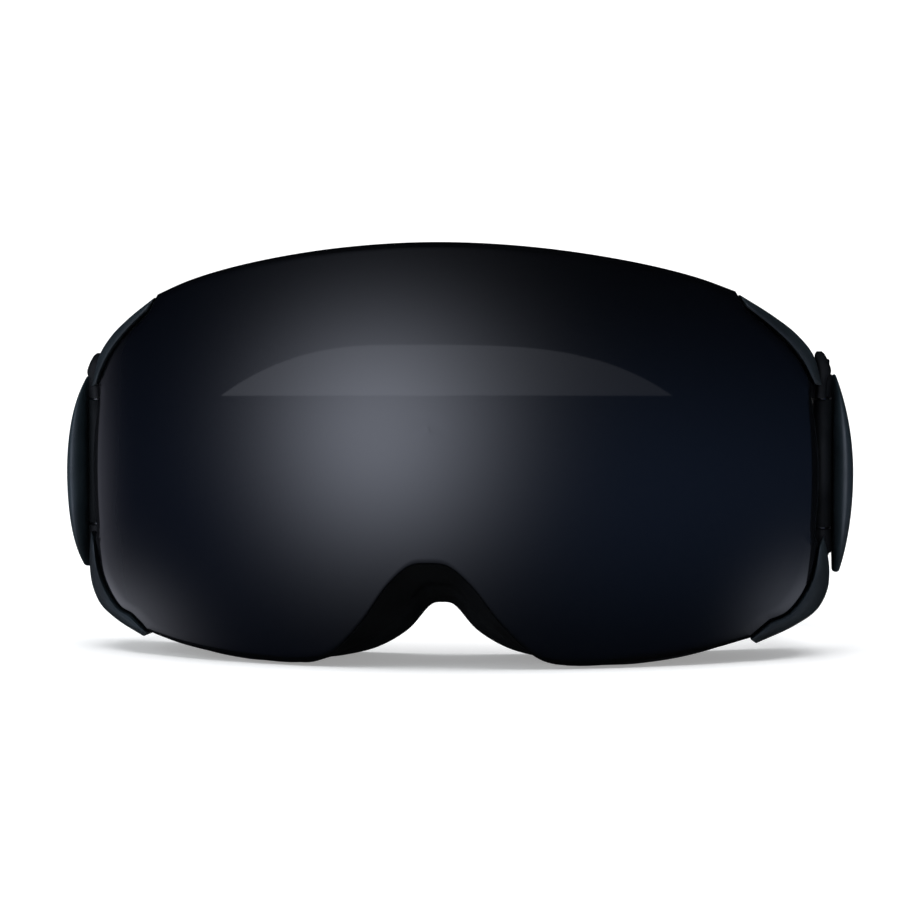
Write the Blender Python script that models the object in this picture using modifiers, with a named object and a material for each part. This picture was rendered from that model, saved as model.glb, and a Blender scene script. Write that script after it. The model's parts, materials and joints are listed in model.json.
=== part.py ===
"""Ski goggles with a magnetic toric lens, hinged outriggers and an elastic strap.

Blender 4.5, metres, +Z up. The goggles stand on the lower edge of their frame and look along -Y, and the
strap's loop comes to rest on the same surface behind them. The origin is on that surface, in the middle of
the object's length and width.
"""

import math

import bmesh
import bpy
from mathutils import Vector
from mathutils.geometry import interpolate_bezier

MM = 0.001

# Overall size
DEPTH = 216 * MM  # from the lens's foremost point to the back of the strap
FRONT_Y = -DEPTH / 2
GAP = 0.3 * MM  # between two pieces that touch

# Lens: outer pane, foam spacer, inner pane and the carrier with the magnets, one behind the other
LENS_RADIUS_X = 110 * MM  # curvature from temple to temple
LENS_RADIUS_Z = 150 * MM  # curvature from brow to cheek
LENS_MIDDLE_Z = 47.4 * MM
OUTER_PANE = 1.8 * MM
INNER_PANE = 1.0 * MM
SPACER = 2.2 * MM
CARRIER = 3.0 * MM
CARRIER_WIDTH = 3.6 * MM
SPACER_WIDTH = 4.6 * MM
INNER_PANE_INSET = 5.5 * MM
SEAT = OUTER_PANE + CARRIER + 2 * GAP  # how far the frame's seat lies behind the lens's face

# Frame: a tunnel from the lens seat to the face foam
SEAT_WIDTH = 5.0 * MM
SEAT_THICKNESS = 3.0 * MM
WALL = 2.2 * MM
BACK_FLANGE = 8.5 * MM
BACK_THICKNESS = 2.4 * MM
FACE_RADIUS = 135 * MM  # curvature of the edge that meets the face
BACK_DEPTH = 29 * MM  # the frame's depth at the nose
# How far the frame's edge stands outside the rim line, by height: a lip below the lens at the cheeks, none
# beside the hinges, and just inside the lens's edge at the brow. Millimetres.
LIP = ((0, 3.2), (8, 2.4), (18, 2.2), (28, 0.1), (62, 0.1), (72, 1.2), (100, 1.2))

# Face foam, from the frame to the skin
FOAM_INSET = 0.8 * MM
FOAM_LAYERS = (
    ("foam_base", 5.5 * MM, 8.8 * MM),
    ("foam_comfort", 5.0 * MM, 9.6 * MM),
    ("foam_fleece", 2.2 * MM, 10.2 * MM),
)

# Magnets, in pairs that face each other across the seat
MAGNET = (12 * MM, 2.2 * MM, 1.6 * MM)  # along the rim, across it, thick
MAGNET_CLEARANCE = 0.3 * MM
MAGNET_INSET = 1.8 * MM
MAGNET_SPOTS = ((26, 92), (61, 84), (50, 3))  # nearest rim points in millimetres, one side

# Outriggers: hinged arms that hold the strap, each with a screwed-on cover
PIN_X = 87.2 * MM
PIN_Y = FRONT_Y + 50.5 * MM
PIN_RADIUS = 1.2 * MM
PIN_HOLE = 1.35 * MM
PIN_BOTTOM, PIN_TOP = 24 * MM, 66 * MM
KNUCKLE_RADIUS = 2.2 * MM
KNUCKLE_BOTTOM, KNUCKLE_TOP = 30 * MM, 60 * MM  # the arm's knuckle, between the frame's two lugs
ARM_BOTTOM, ARM_TOP = 22.6 * MM, 69.8 * MM
ARM_LENGTH = 19.9 * MM
ARM_INNER, ARM_OUTER = -0.6 * MM, 2.0 * MM
ARM_BULGE = 140 * MM
ARM_STRAIGHT = 11 * MM  # from here back the arm doesn't lean
ARM_CLEAR = 5.7 * MM  # where the arm starts above and below its knuckle
WINDOW_FRONT, WINDOW_BACK = 12.0 * MM, 17.1 * MM
COVER_INNER = 2.5 * MM
COVER_OUTER = 7.1 * MM
COVER_FRONT, COVER_BACK = -4.5 * MM, 13.6 * MM
COVER_MIDDLE_Z, COVER_HALF = 42.6 * MM, 23.4 * MM
COVER_BULGES = (88 * MM, 68 * MM)  # curvature of its outer face below and above the middle
SCREW_SPOTS = ((9.2 * MM, 34 * MM), (9.2 * MM, 54 * MM))  # back from the pin, height
SCREW_RADIUS, SCREW_HEAD = 1.0 * MM, 1.8 * MM
SCREW_HOLE = 1.2 * MM
SCREW_REACH = 1.8 * MM  # into the cover

# Strap: webbing that loops round each arm's bar, folds back on itself, and runs through an adjuster
STRAP_WIDTH = 40 * MM
STRAP_THICKNESS = 1.5 * MM
STRAP_Z = 46 * MM
STRAP_TURN_IN = math.radians(7.5)
STRAP_START = Vector((PIN_X + 0.7 * MM, PIN_Y + 18.5 * MM))  # the bar's middle
STRAP_STRAIGHT = 98 * MM
STRAP_LEVEL = 30 * MM  # the strap starts level and tips down over this length
STRAP_HANDLES = (42 * MM, 44 * MM)  # shape of the curve round the back
STRAP_LAP = 27 * MM  # where the single layer starts
STRAP_FOLD_END = 60.3 * MM
FOLD_SPREAD = 2.35 * MM  # each layer's distance from the bar's middle
LAYER_OFFSET = 0.9 * MM  # and from the middle line once the layers lie together
ADJUSTER_SPOT = 62 * MM
ADJUSTER_LENGTH = 13 * MM
ADJUSTER_BAR = 2.6 * MM
ADJUSTER_THICKNESS = 1.8 * MM
ADJUSTER_RAIL = 2.2 * MM
GRIP_HEIGHTS = (-12 * MM, 0.0, 12 * MM)
GRIP_WIDTH = 3.0 * MM
GRIP_THICKNESS = 0.6 * MM
GRIP_START = 102 * MM

# Outlines, seen from the front: x outwards and z up in millimetres, one half, from the brow down to the nose.
# Each bracket is a smooth stretch, and two stretches meet in a corner.
LENS_OUTLINE = (
    ((0, 94.9), (22, 93.8), (43.5, 90.8), (58, 87.5), (66.8, 84.5)),
    ((66.8, 84.5), (69.2, 80.5)),
    ((69.2, 80.5), (74.1, 76.7), (78.7, 72.5), (82.0, 68.3), (84.7, 63.4)),
    ((84.7, 63.4), (84.2, 61.0)),
    ((84.2, 61.0), (85.9, 49.0), (86.0, 36.0), (85.3, 28.6)),
    ((85.3, 28.6), (86.1, 26.4)),
    ((86.1, 26.4), (83.9, 17.4), (79.0, 10.9), (74.8, 9.2)),
    ((74.8, 9.2), (70.2, 5.5)),
    ((70.2, 5.5), (59.7, 3.1), (45.5, 1.3), (31, 0.7), (24, 2.2), (16, 9.7), (9, 19.0), (4, 23.2),
     (0, 23.7)),
)
RIM_OUTLINE = (
    ((0, 93.2), (11, 92.9), (22, 92.1), (33, 90.8), (43.5, 89.1), (50.5, 87.6), (57, 85.6), (66, 80.9),
     (74, 75.0), (79.4, 68.8), (82.6, 60.0), (83.9, 50.0), (84.2, 40.0), (83.9, 30.0), (82.8, 21.0),
     (79.6, 14.0), (73.6, 9.6), (65, 6.3), (55, 4.1), (44, 3.0), (33, 2.7), (27, 3.7), (22.2, 6.8),
     (17, 12.3), (10.6, 20.6), (5.4, 24.9), (0, 25.6)),
)
BACK_OUTLINE = (
    ((0, 90.5), (11, 90.2), (22, 89.4), (32.5, 88.1), (42, 86.2), (49, 84.4), (55, 82.2), (64, 77.6),
     (72, 71.8), (78, 65.5), (81.8, 57.5), (83.2, 48.5), (83.5, 39.5), (83.0, 30.5), (81.4, 21.5),
     (77.6, 13.2), (71.5, 7.2), (63, 3.0), (53.5, 1.0), (44, -0.3), (33, -0.3), (27.5, 0.0), (22.7, 0.7),
     (15.0, 2.8), (7.9, 7.0), (2.4, 12.9), (0, 13.3)),
)
# The frame's shoulders fill the lens's cut-outs. Each is as long as some of the lens's stretches, and reaches
# out to a line of its own.
UPPER_SHOULDER = ((2,), ((67.7, 83.8), (75.3, 79.2), (80.8, 75.1), (84.8, 70.3), (86.9, 63.2)), 1.4)
LOWER_SHOULDER = (
    (6, 7),
    ((87.4, 28.2), (88.4, 24.0), (88.9, 19.6), (88.4, 15.2), (86.0, 10.9), (80.6, 7.5), (71.8, 4.1)),
    0.0,
)
# The tip of the frame above the hinge, from the bottom up: height, then its sides in x and in y. Millimetres.
HORN = (
    (60.3, 85.4, 88.0, -61.6, -56.4),
    (64.0, 85.5, 88.1, -62.0, -56.0),
    (66.6, 85.5, 89.1, -62.0, -55.5),
    (69.0, 85.3, 88.4, -61.7, -55.6),
    (70.6, 85.3, 87.6, -60.8, -56.4),
    (71.3, 85.7, 86.9, -59.8, -57.4),
)


def clear_scene():
    for old in list(bpy.data.objects):
        bpy.data.objects.remove(old, do_unlink=True)


def new_collection(name):
    made = bpy.data.collections.new(name)
    bpy.context.scene.collection.children.link(made)
    return made


def new_material(name, colour, roughness, metallic=0.0, alpha=1.0):
    made = bpy.data.materials.new(name)
    made.use_nodes = True
    shader = made.node_tree.nodes["Principled BSDF"]
    shader.inputs["Base Color"].default_value = (*colour, 1.0)
    shader.inputs["Roughness"].default_value = roughness
    shader.inputs["Metallic"].default_value = metallic
    shader.inputs["Alpha"].default_value = alpha
    return made


# ---------------------------------------------------------------- meshes


def add_object(name, bm, home, material=None, parent=None, side=1):
    """Puts a bmesh into a new smooth-shaded object, faces out. A side of -1 mirrors it to the left."""
    for vert in bm.verts:
        vert.co.x *= side
    bm.normal_update()
    bmesh.ops.recalc_face_normals(bm, faces=bm.faces)
    mesh = bpy.data.meshes.new(name)
    bm.to_mesh(mesh)
    bm.free()
    mesh.shade_smooth()
    mesh.set_sharp_from_angle(angle=math.radians(32))
    obj = bpy.data.objects.new(name, mesh)
    home.objects.link(obj)
    if material:
        mesh.materials.append(material)
    obj.parent = parent
    if home.name.endswith(("cutters", "additions")):
        obj.hide_render = True
        obj.display_type = "WIRE"
    return obj


def lofted(rings, looped=False, capped=True):
    """A bmesh with a wall between each ring of points and the next, which must have as many points."""
    bm = bmesh.new()
    rows = [[bm.verts.new(point) for point in ring] for ring in rings]
    pairs = list(zip(rows, rows[1:] + rows[:1])) if looped else list(zip(rows, rows[1:]))
    for here, there in pairs:
        for i in range(len(here)):
            j = (i + 1) % len(here)
            bm.faces.new((here[i], here[j], there[j], there[i]))
    if capped and not looped:
        bm.faces.new(rows[0])
        bm.faces.new(rows[-1])
    return bm


def sheet(rows):
    """A bmesh with one open surface through rows of points."""
    bm = bmesh.new()
    grid = [[bm.verts.new(point) for point in row] for row in rows]
    for here, there in zip(grid, grid[1:]):
        for i in range(len(here) - 1):
            bm.faces.new((here[i], here[i + 1], there[i + 1], there[i]))
    return bm


def block(low, high):
    """A bmesh box between two corners."""
    bm = bmesh.new()
    bmesh.ops.create_cube(bm, size=1.0)
    low, high = Vector(low), Vector(high)
    bmesh.ops.scale(bm, vec=high - low, verts=bm.verts)
    bmesh.ops.translate(bm, vec=(low + high) / 2, verts=bm.verts)
    return bm


def upright_cylinder(centre, bottom, top, radius, sides=16):
    bm = bmesh.new()
    bmesh.ops.create_cone(
        bm, cap_ends=True, segments=sides, radius1=radius, radius2=radius, depth=top - bottom
    )
    bmesh.ops.translate(bm, vec=(centre[0], centre[1], (top + bottom) / 2), verts=bm.verts)
    return bm


def boolean(obj, operation, other):
    """Cuts, joins or trims obj by another object, or by everything in a collection."""
    made = obj.modifiers.new(operation.lower(), "BOOLEAN")
    made.operation = operation
    made.solver = "EXACT"
    if isinstance(other, bpy.types.Collection):
        made.operand_type = "COLLECTION"
        made.collection = other
    else:
        made.object = other


def thickened(obj, thickness, offset=-1.0):
    made = obj.modifiers.new("thickness", "SOLIDIFY")
    made.thickness = thickness
    made.offset = offset
    made.use_even_offset = True


# ---------------------------------------------------------------- outlines


def between(before, start, end, after, count):
    """Points from start up to, and not including, end on a centripetal Catmull-Rom curve."""
    t0 = 0.0
    t1 = t0 + math.sqrt((start - before).length)
    t2 = t1 + math.sqrt((end - start).length)
    t3 = t2 + math.sqrt((after - end).length)
    points = []
    for i in range(count):
        t = t1 + (t2 - t1) * i / count
        a1 = before.lerp(start, (t - t0) / (t1 - t0))
        a2 = start.lerp(end, (t - t1) / (t2 - t1))
        a3 = end.lerp(after, (t - t2) / (t3 - t2))
        b1 = a1.lerp(a2, (t - t0) / (t2 - t0))
        b2 = a2.lerp(a3, (t - t1) / (t3 - t1))
        points.append(b1.lerp(b2, (t - t1) / (t2 - t1)))
    return points


def smooth_line(knots, per_span):
    """Points on a smooth line through knots in millimetres. It crosses x = 0 level, if it ends there."""
    line = [Vector(knot) * MM for knot in knots]
    mirrored = Vector((-1, 1))
    first = line[1] * mirrored if line[0].x == 0 else 2 * line[0] - line[1]
    last = line[-2] * mirrored if line[-1].x == 0 else 2 * line[-1] - line[-2]
    line = [first, *line, last]
    points = []
    for i in range(1, len(line) - 2):
        points += between(*line[i - 1 : i + 3], per_span)
    return [*points, line[-2]]


def outline(stretches, per_span):
    """The whole closed outline, clockwise as seen from the front, from the middle of the brow."""
    half = []
    for stretch in stretches:
        half += smooth_line(stretch, per_span)[:-1]
    half.append(Vector(stretches[-1][-1]) * MM)
    return half + [Vector((-p.x, p.y)) for p in reversed(half[1:-1])]


def inset(points, distance):
    """The outline moved inwards, or outwards where distance is negative. Distance may be one per point."""
    count = len(points)
    each = distance if hasattr(distance, "__len__") else [distance] * count
    moved = []
    for i, point in enumerate(points):
        along = (points[(i + 1) % count] - points[i - 1]).normalized()
        moved.append(point + each[i] * Vector((along.y, -along.x)))
    return moved


def lens_y(x, z, behind=0.0):
    """Depth of the lens's front at (x, z), or of a surface that lies behind it by that much, square to it."""
    run_x = math.sqrt(LENS_RADIUS_X**2 - x**2)
    rise = z - LENS_MIDDLE_Z
    run_z = math.sqrt(LENS_RADIUS_Z**2 - rise**2)
    stretch = math.sqrt(1 + (x / run_x) ** 2 + (rise / run_z) ** 2)
    return FRONT_Y + LENS_RADIUS_X - run_x + LENS_RADIUS_Z - run_z + behind * stretch


def back_y(x, behind=0.0):
    """Depth of the frame's back edge, or of a surface behind it."""
    return FRONT_Y + BACK_DEPTH + FACE_RADIUS - math.sqrt(FACE_RADIUS**2 - x**2) + behind


def on_lens(points, behind):
    return [Vector((p.x, lens_y(p.x, p.y, behind), p.y)) for p in points]


def on_back(points, behind):
    return [Vector((p.x, back_y(p.x, behind), p.y)) for p in points]


def ring(*loops):
    """A bmesh ring whose section, at each station, joins the same point of every loop."""
    return lofted([list(section) for section in zip(*loops)], looped=True)


def lip_width(z):
    """The lip's width at a height, eased between the heights in the table."""
    for (low, here), (high, there) in zip(LIP, LIP[1:]):
        if z <= high * MM:
            share = max(0.0, (z / MM - low) / (high - low))
            return (here + (there - here) * share * share * (3 - 2 * share)) * MM
    return LIP[-1][1] * MM


def standing(points):
    """The outline with the lowest part of each cheek cut off flat, for the frame to stand on."""
    return [Vector((point.x, max(0.0, point.y))) for point in points]


def frame_edge(rim):
    """The frame's outer edge at the seat."""
    return standing(inset(rim, [-lip_width(point.y) for point in rim]))


def beside(line, distance):
    """An open line moved outwards, where it runs clockwise."""
    moved = []
    for i, point in enumerate(line):
        along = (line[min(i + 1, len(line) - 1)] - line[max(i - 1, 0)]).normalized()
        moved.append(point + distance * Vector((-along.y, along.x)))
    return moved


def resampled(line, count):
    """Points at equal steps along a line."""
    steps = [0.0]
    for a, b in zip(line, line[1:]):
        steps.append(steps[-1] + (b - a).length)
    points = []
    for k in range(count):
        wanted = steps[-1] * k / (count - 1)
        i = min(len(line) - 2, max(0, sum(1 for step in steps if step <= wanted) - 1))
        points.append(line[i].lerp(line[i + 1], (wanted - steps[i]) / (steps[i + 1] - steps[i])))
    return points


# ---------------------------------------------------------------- lens


def prism(name, points, home):
    """A cutter that fills a front outline and runs through the object's whole depth."""
    curve = bpy.data.curves.new(name, "CURVE")
    curve.dimensions = "2D"
    curve.fill_mode = "BOTH"
    curve.extrude = DEPTH
    spline = curve.splines.new("POLY")
    spline.points.add(len(points) - 1)
    for knot, point in zip(spline.points, points):
        knot.co = (point.x, point.y, 0, 1)
    spline.use_cyclic_u = True
    guide = bpy.data.objects.new(name + "_curve", curve)
    guide.rotation_euler = (math.radians(90), 0, 0)
    home.objects.link(guide)
    bpy.context.view_layer.update()
    mesh = bpy.data.meshes.new_from_object(guide.evaluated_get(bpy.context.evaluated_depsgraph_get()))
    bm = bmesh.new()
    bm.from_mesh(mesh)
    bmesh.ops.remove_doubles(bm, verts=bm.verts, dist=1e-6)
    bmesh.ops.transform(bm, matrix=guide.matrix_world, verts=bm.verts)
    bpy.data.objects.remove(guide)
    bpy.data.meshes.remove(mesh)
    return add_object(name, bm, home)


def pane(name, points, behind, thickness, parts, cutters, material, parent):
    """A pane of the lens: a curved sheet, thickened, and trimmed to an outline."""
    reach_x, low, high = 88 * MM, -1 * MM, 97 * MM
    columns, rows = 24, 8
    grid = []
    for i in range(rows + 1):
        z = low + (high - low) * i / rows
        across = [reach_x * (2 * j / columns - 1) for j in range(columns + 1)]
        grid.append([(x, lens_y(x, z, behind), z) for x in across])
    obj = add_object(name, sheet(grid), parts, material, parent)
    facing = obj.data.polygons[0].normal.y
    thickened(obj, thickness, offset=-1.0 if facing < 0 else 1.0)
    boolean(obj, "INTERSECT", prism(name + "_outline", points, cutters))
    return obj


def magnet_places():
    """Where the magnets sit: (point on the rim, its direction along the rim), for both sides."""
    rim = outline(RIM_OUTLINE, 4)
    line = inset(rim, MAGNET_INSET)
    places = []
    for x, z in MAGNET_SPOTS:
        for side in (1, -1):
            spot = Vector((side * x, z)) * MM
            i = min(range(len(line)), key=lambda k: (line[k] - spot).length)
            along = (line[(i + 1) % len(line)] - line[i - 1]).normalized()
            places.append((line[i], along))
    return places


def bar_magnet(place, behind, size):
    """A flat bar along the rim, its front face the given distance behind the lens's face."""
    point, along = place
    step = 1 * MM
    tips = [point - along * step, point + along * step]
    start, end = (Vector((p.x, lens_y(p.x, p.y, behind), p.y)) for p in tips)
    across = Vector((along.y, -along.x))
    near = point + across * step
    centre = Vector((point.x, lens_y(point.x, point.y, behind), point.y))
    x_axis = (end - start).normalized()
    inwards = (Vector((near.x, lens_y(near.x, near.y, behind), near.y)) - centre).normalized()
    back = x_axis.cross(inwards).normalized()
    if back.y < 0:
        back = -back
    y_axis = back.cross(x_axis)
    bm = block((-size[0] / 2, -size[1] / 2, 0), (size[0] / 2, size[1] / 2, size[2]))
    for vert in bm.verts:
        vert.co = centre + x_axis * vert.co.x + y_axis * vert.co.y + back * vert.co.z
    return bm


def make_magnets(name, behind, parts, material, parent):
    for number, place in enumerate(magnet_places(), 1):
        add_object(f"{name}_{number}", bar_magnet(place, behind, MAGNET), parts, material, parent)


def magnet_pockets(name, behind, home):
    size = [side + 2 * MAGNET_CLEARANCE for side in MAGNET]
    for number, place in enumerate(magnet_places(), 1):
        add_object(f"{name}_{number}", bar_magnet(place, behind - MAGNET_CLEARANCE, size), home)


def make_lens(parts, cutters, materials, parent):
    rim_fine = outline(RIM_OUTLINE, 2)
    rim = outline(RIM_OUTLINE, 1)
    pane("outer_lens", outline(LENS_OUTLINE, 3), 0.0, OUTER_PANE, parts, cutters, materials["lens"], parent)

    front = OUTER_PANE + GAP
    hole = inset(rim_fine, CARRIER_WIDTH)
    carrier = add_object(
        "lens_carrier",
        ring(
            on_lens(rim_fine, front),
            on_lens(hole, front),
            on_lens(hole, front + CARRIER),
            on_lens(rim_fine, front + CARRIER),
        ),
        parts,
        materials["trim"],
        parent,
    )
    pockets = new_collection("carrier_cutters")
    magnet_pockets("carrier_pocket", front + CARRIER - MAGNET[2], pockets)
    boolean(carrier, "DIFFERENCE", pockets)
    make_magnets("lens_magnet", front + CARRIER - MAGNET[2] - GAP / 2, parts, materials["magnet"], parent)

    edge = inset(rim, CARRIER_WIDTH + 0.6 * MM)
    hole = inset(rim, CARRIER_WIDTH + 0.6 * MM + SPACER_WIDTH)
    add_object(
        "lens_spacer",
        ring(
            on_lens(edge, front),
            on_lens(hole, front),
            on_lens(hole, front + SPACER),
            on_lens(edge, front + SPACER),
        ),
        parts,
        materials["foam"],
        parent,
    )
    back = front + SPACER + GAP
    pane(
        "inner_lens",
        inset(rim_fine, INNER_PANE_INSET),
        back,
        INNER_PANE,
        parts,
        cutters,
        materials["inner_lens"],
        parent,
    )


# ---------------------------------------------------------------- frame and foam


def shoulder(shape, side):
    """A raised strip of the frame that wraps one corner of the lens."""
    stretches, outer_line, taper = shape
    edge = []
    for number in stretches:
        edge += smooth_line(LENS_OUTLINE[number], 3)[:-1]
    edge.append(Vector(LENS_OUTLINE[stretches[-1]][-1]) * MM)
    inner = beside(edge, GAP + 0.1 * MM)
    outer = resampled(smooth_line(outer_line, 4), len(inner))
    crown, step_down, foot = -1.0 * MM, 1.2 * MM, SEAT + 1.2 * MM
    root = 4.0 * MM  # how far the strip's foot reaches inwards, under the lens's edge, into the frame
    rings = []
    for a, b in zip(inner, outer):
        across = (b - a).normalized()
        inside = a - across * root
        outer_foot = b - across * taper * MM
        section = (
            (a, 0.2 * MM),
            (a.lerp(b, 0.25), crown),
            (a.lerp(b, 0.7), crown * 0.6),
            (b, step_down),
            (outer_foot, foot),
            (inside, SEAT + SEAT_THICKNESS - GAP),
            (inside, SEAT + GAP),
            (a, SEAT + GAP),
        )
        rings.append([(side * p.x, lens_y(p.x, p.y, behind), p.y) for p, behind in section])
    return lofted(rings)


def horn(side):
    """The upright tip of the frame above the hinge, between the lens's edge and the cover."""
    rings = []
    for z, low_x, high_x, low_y, high_y in HORN:
        corner = min(high_x - low_x, high_y - low_y) * 0.3
        plan = (
            (low_x + corner, low_y),
            (high_x - corner, low_y),
            (high_x, low_y + corner),
            (high_x, high_y - corner),
            (high_x - corner, high_y),
            (low_x + corner, high_y),
            (low_x, high_y - corner),
            (low_x, low_y + corner),
        )
        rings.append([(side * x * MM, y * MM, z * MM) for x, y in plan])
    return lofted(rings)


def vent(x, width, height, z, share=0.5):
    """A slot through the frame's wall at x, centred between the seat and the back edge."""
    seat = lens_y(x, z, SEAT + SEAT_THICKNESS)
    middle = seat + (back_y(x) - BACK_THICKNESS - seat) * share
    return block(
        (x - width / 2, middle - height / 2, z - 7 * MM), (x + width / 2, middle + height / 2, z + 7 * MM)
    )


TOP_VENTS = ((0, 92), (20, 91), (-20, 91), (39, 88), (-39, 88), (55, 84), (-55, 84))
BOTTOM_VENTS = ((53, 2), (-53, 2), (69, 5), (-69, 5))


def make_frame(parts, materials, parent):
    rim = outline(RIM_OUTLINE, 2)
    back = standing(outline(BACK_OUTLINE, 2))
    edge = frame_edge(rim)
    seat_hole = inset(rim, SEAT_WIDTH)
    back_hole = inset(back, BACK_FLANGE)
    frame = add_object(
        "face_frame",
        ring(
            on_lens(edge, SEAT),
            on_lens(seat_hole, SEAT),
            on_lens(seat_hole, SEAT + SEAT_THICKNESS),
            on_lens(inset(edge, WALL), SEAT + SEAT_THICKNESS),
            on_back(inset(back, WALL), -BACK_THICKNESS),
            on_back(back_hole, -BACK_THICKNESS),
            on_back(back_hole, 0.0),
            on_back(back, 0.0),
        ),
        parts,
        materials["frame"],
        parent,
    )
    additions = new_collection("frame_additions")
    cutters = new_collection("frame_cutters")
    for side in (1, -1):
        label = "right" if side > 0 else "left"
        add_object(f"upper_shoulder_{label}", shoulder(UPPER_SHOULDER, side), additions)
        add_object(f"lower_shoulder_{label}", shoulder(LOWER_SHOULDER, side), additions)
        add_object(f"horn_{label}", horn(side), additions)
        for name, low, high in (
            ("lower", PIN_BOTTOM, KNUCKLE_BOTTOM - GAP),
            ("upper", KNUCKLE_TOP + GAP, PIN_TOP),
        ):
            centre = (side * PIN_X, PIN_Y)
            lug = upright_cylinder(centre, low, high, KNUCKLE_RADIUS)
            add_object(f"{name}_lug_{label}", lug, additions)
            reach = sorted((side * (PIN_X - 5.5 * MM), side * PIN_X))
            web = block((reach[0], PIN_Y - 1.9 * MM, low), (reach[1], PIN_Y + 1.9 * MM, high))
            add_object(f"{name}_web_{label}", web, additions)
        hole = upright_cylinder((side * PIN_X, PIN_Y), PIN_BOTTOM - MM, PIN_TOP + MM, PIN_HOLE)
        add_object(f"pin_hole_{label}", hole, cutters)
    for number, (x, z) in enumerate(TOP_VENTS, 1):
        add_object(f"top_vent_{number}", vent(x * MM, 13 * MM, 6.5 * MM, z * MM), cutters)
    for number, (x, z) in enumerate(BOTTOM_VENTS, 1):
        add_object(f"bottom_vent_{number}", vent(x * MM, 12 * MM, 5 * MM, z * MM), cutters)
    magnet_pockets("frame_pocket", SEAT, cutters)
    boolean(frame, "UNION", additions)
    boolean(frame, "DIFFERENCE", cutters)
    make_magnets("frame_magnet", SEAT + GAP / 2, parts, materials["magnet"], parent)


def make_foam(parts, materials, parent):
    """Three rings of foam, firm to soft, each a little wider than the one in front of it."""
    back = standing(outline(BACK_OUTLINE, 1))
    start = GAP
    for name, thickness, width in FOAM_LAYERS:
        edge = inset(back, FOAM_INSET)
        hole = inset(back, FOAM_INSET + width)
        body = ring(
            on_back(edge, start),
            on_back(hole, start),
            on_back(hole, start + thickness),
            on_back(edge, start + thickness),
        )
        material = materials["fleece"] if name == "foam_fleece" else materials["foam"]
        add_object(name, body, parts, material, parent)
        start += thickness + GAP


def vent_foam(name, first, last, parts, material, parent):
    """Open-cell foam on the inside of the frame's wall, over a row of vents, between two knots of the rim."""
    rim = outline(RIM_OUTLINE, 1)
    back = standing(outline(BACK_OUTLINE, 1))
    clear = WALL + 0.5 * MM
    seat_side = on_lens(inset(frame_edge(rim), clear), SEAT + SEAT_THICKNESS + 0.8 * MM)
    face_side = on_back(inset(back, clear), -BACK_THICKNESS - 0.8 * MM)
    count = len(rim)
    rows = [[seat_side[i % count], face_side[i % count]] for i in range(first, last + 1)]
    obj = add_object(name, sheet(rows), parts, material, parent)
    middle = obj.data.polygons[len(obj.data.polygons) // 2]
    outwards = middle.normal.z * (middle.center.z - LENS_MIDDLE_Z) > 0
    thickened(obj, 1.6 * MM, offset=-1.0 if outwards else 1.0)


# ---------------------------------------------------------------- outriggers


def arm_section(z):
    """How far the arm leans in at a height, to follow the side of the head."""
    return -((z - STRAP_Z) ** 2) / (2 * ARM_BULGE)


def arm_shape():
    """The arm's plate, with x outwards, y back and z up from the hinge. It has a rounded outline."""
    corner = 5 * MM
    turns = 4
    outline_points = []
    for cy, cz, start in (
        (ARM_LENGTH - corner, ARM_TOP - corner, 0),
        (ARM_CLEAR + corner, ARM_TOP - corner, 90),
        (ARM_CLEAR + corner, ARM_BOTTOM + corner, 180),
        (ARM_LENGTH - corner, ARM_BOTTOM + corner, 270),
    ):
        for i in range(turns + 1):
            angle = math.radians(start + 90 * i / turns)
            outline_points.append((cy + corner * math.cos(angle), cz + corner * math.sin(angle)))
    bm = lofted([[(x, y, z) for y, z in outline_points] for x in (ARM_INNER, ARM_OUTER)])
    cuts = [((0, ARM_STRAIGHT, 0), (0, 1, 0))]
    for i in range(1, 8):
        cuts.append(((0, 0, ARM_BOTTOM + (ARM_TOP - ARM_BOTTOM) * i / 8), (0, 0, 1)))
    for point, normal in cuts:
        geometry = bm.verts[:] + bm.edges[:] + bm.faces[:]
        bmesh.ops.bisect_plane(bm, geom=geometry, dist=1e-6, plane_co=point, plane_no=normal)
    for vert in bm.verts:
        share = 1 - (vert.co.y - ARM_CLEAR) / (ARM_STRAIGHT - ARM_CLEAR)
        vert.co.x += arm_section(vert.co.z) * max(0.0, share)
    return bm


def cover_section(z, shrink):
    """The cover's plan at a height: flat inside, a rounded nose at the front and a bulged outer face."""
    bulge = COVER_BULGES[0] if z < COVER_MIDDLE_Z else COVER_BULGES[1]
    outer = COVER_OUTER - (z - COVER_MIDDLE_Z) ** 2 / (2 * bulge)
    outer = max(outer, COVER_INNER + 0.7 * MM)
    thick = outer - COVER_INNER
    front = COVER_FRONT + 6 * MM * shrink
    back = COVER_BACK - 5 * MM * shrink
    return [
        (COVER_INNER, back, z),
        (COVER_INNER, front + 4.2 * MM, z),
        (COVER_INNER + 0.14 * thick, front + 2.0 * MM, z),
        (COVER_INNER + 0.42 * thick, front + 0.4 * MM, z),
        (COVER_INNER + 0.70 * thick, front, z),
        (COVER_INNER + 0.92 * thick, front + 0.9 * MM, z),
        (outer, front + 2.6 * MM, z),
        (outer - 0.2 * MM, (front + back) / 2, z),
        (outer - 0.9 * MM * thick / (4 * MM), back - 2.0 * MM, z),
        (COVER_INNER + 0.35 * thick, back, z),
    ]


def cover_shape():
    count = 12
    rings = []
    for i in range(count + 1):
        share = -1 + 2 * i / count
        z = COVER_MIDDLE_Z + COVER_HALF * share
        rings.append(cover_section(z, abs(share) ** 5))
    return lofted(rings)


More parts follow.
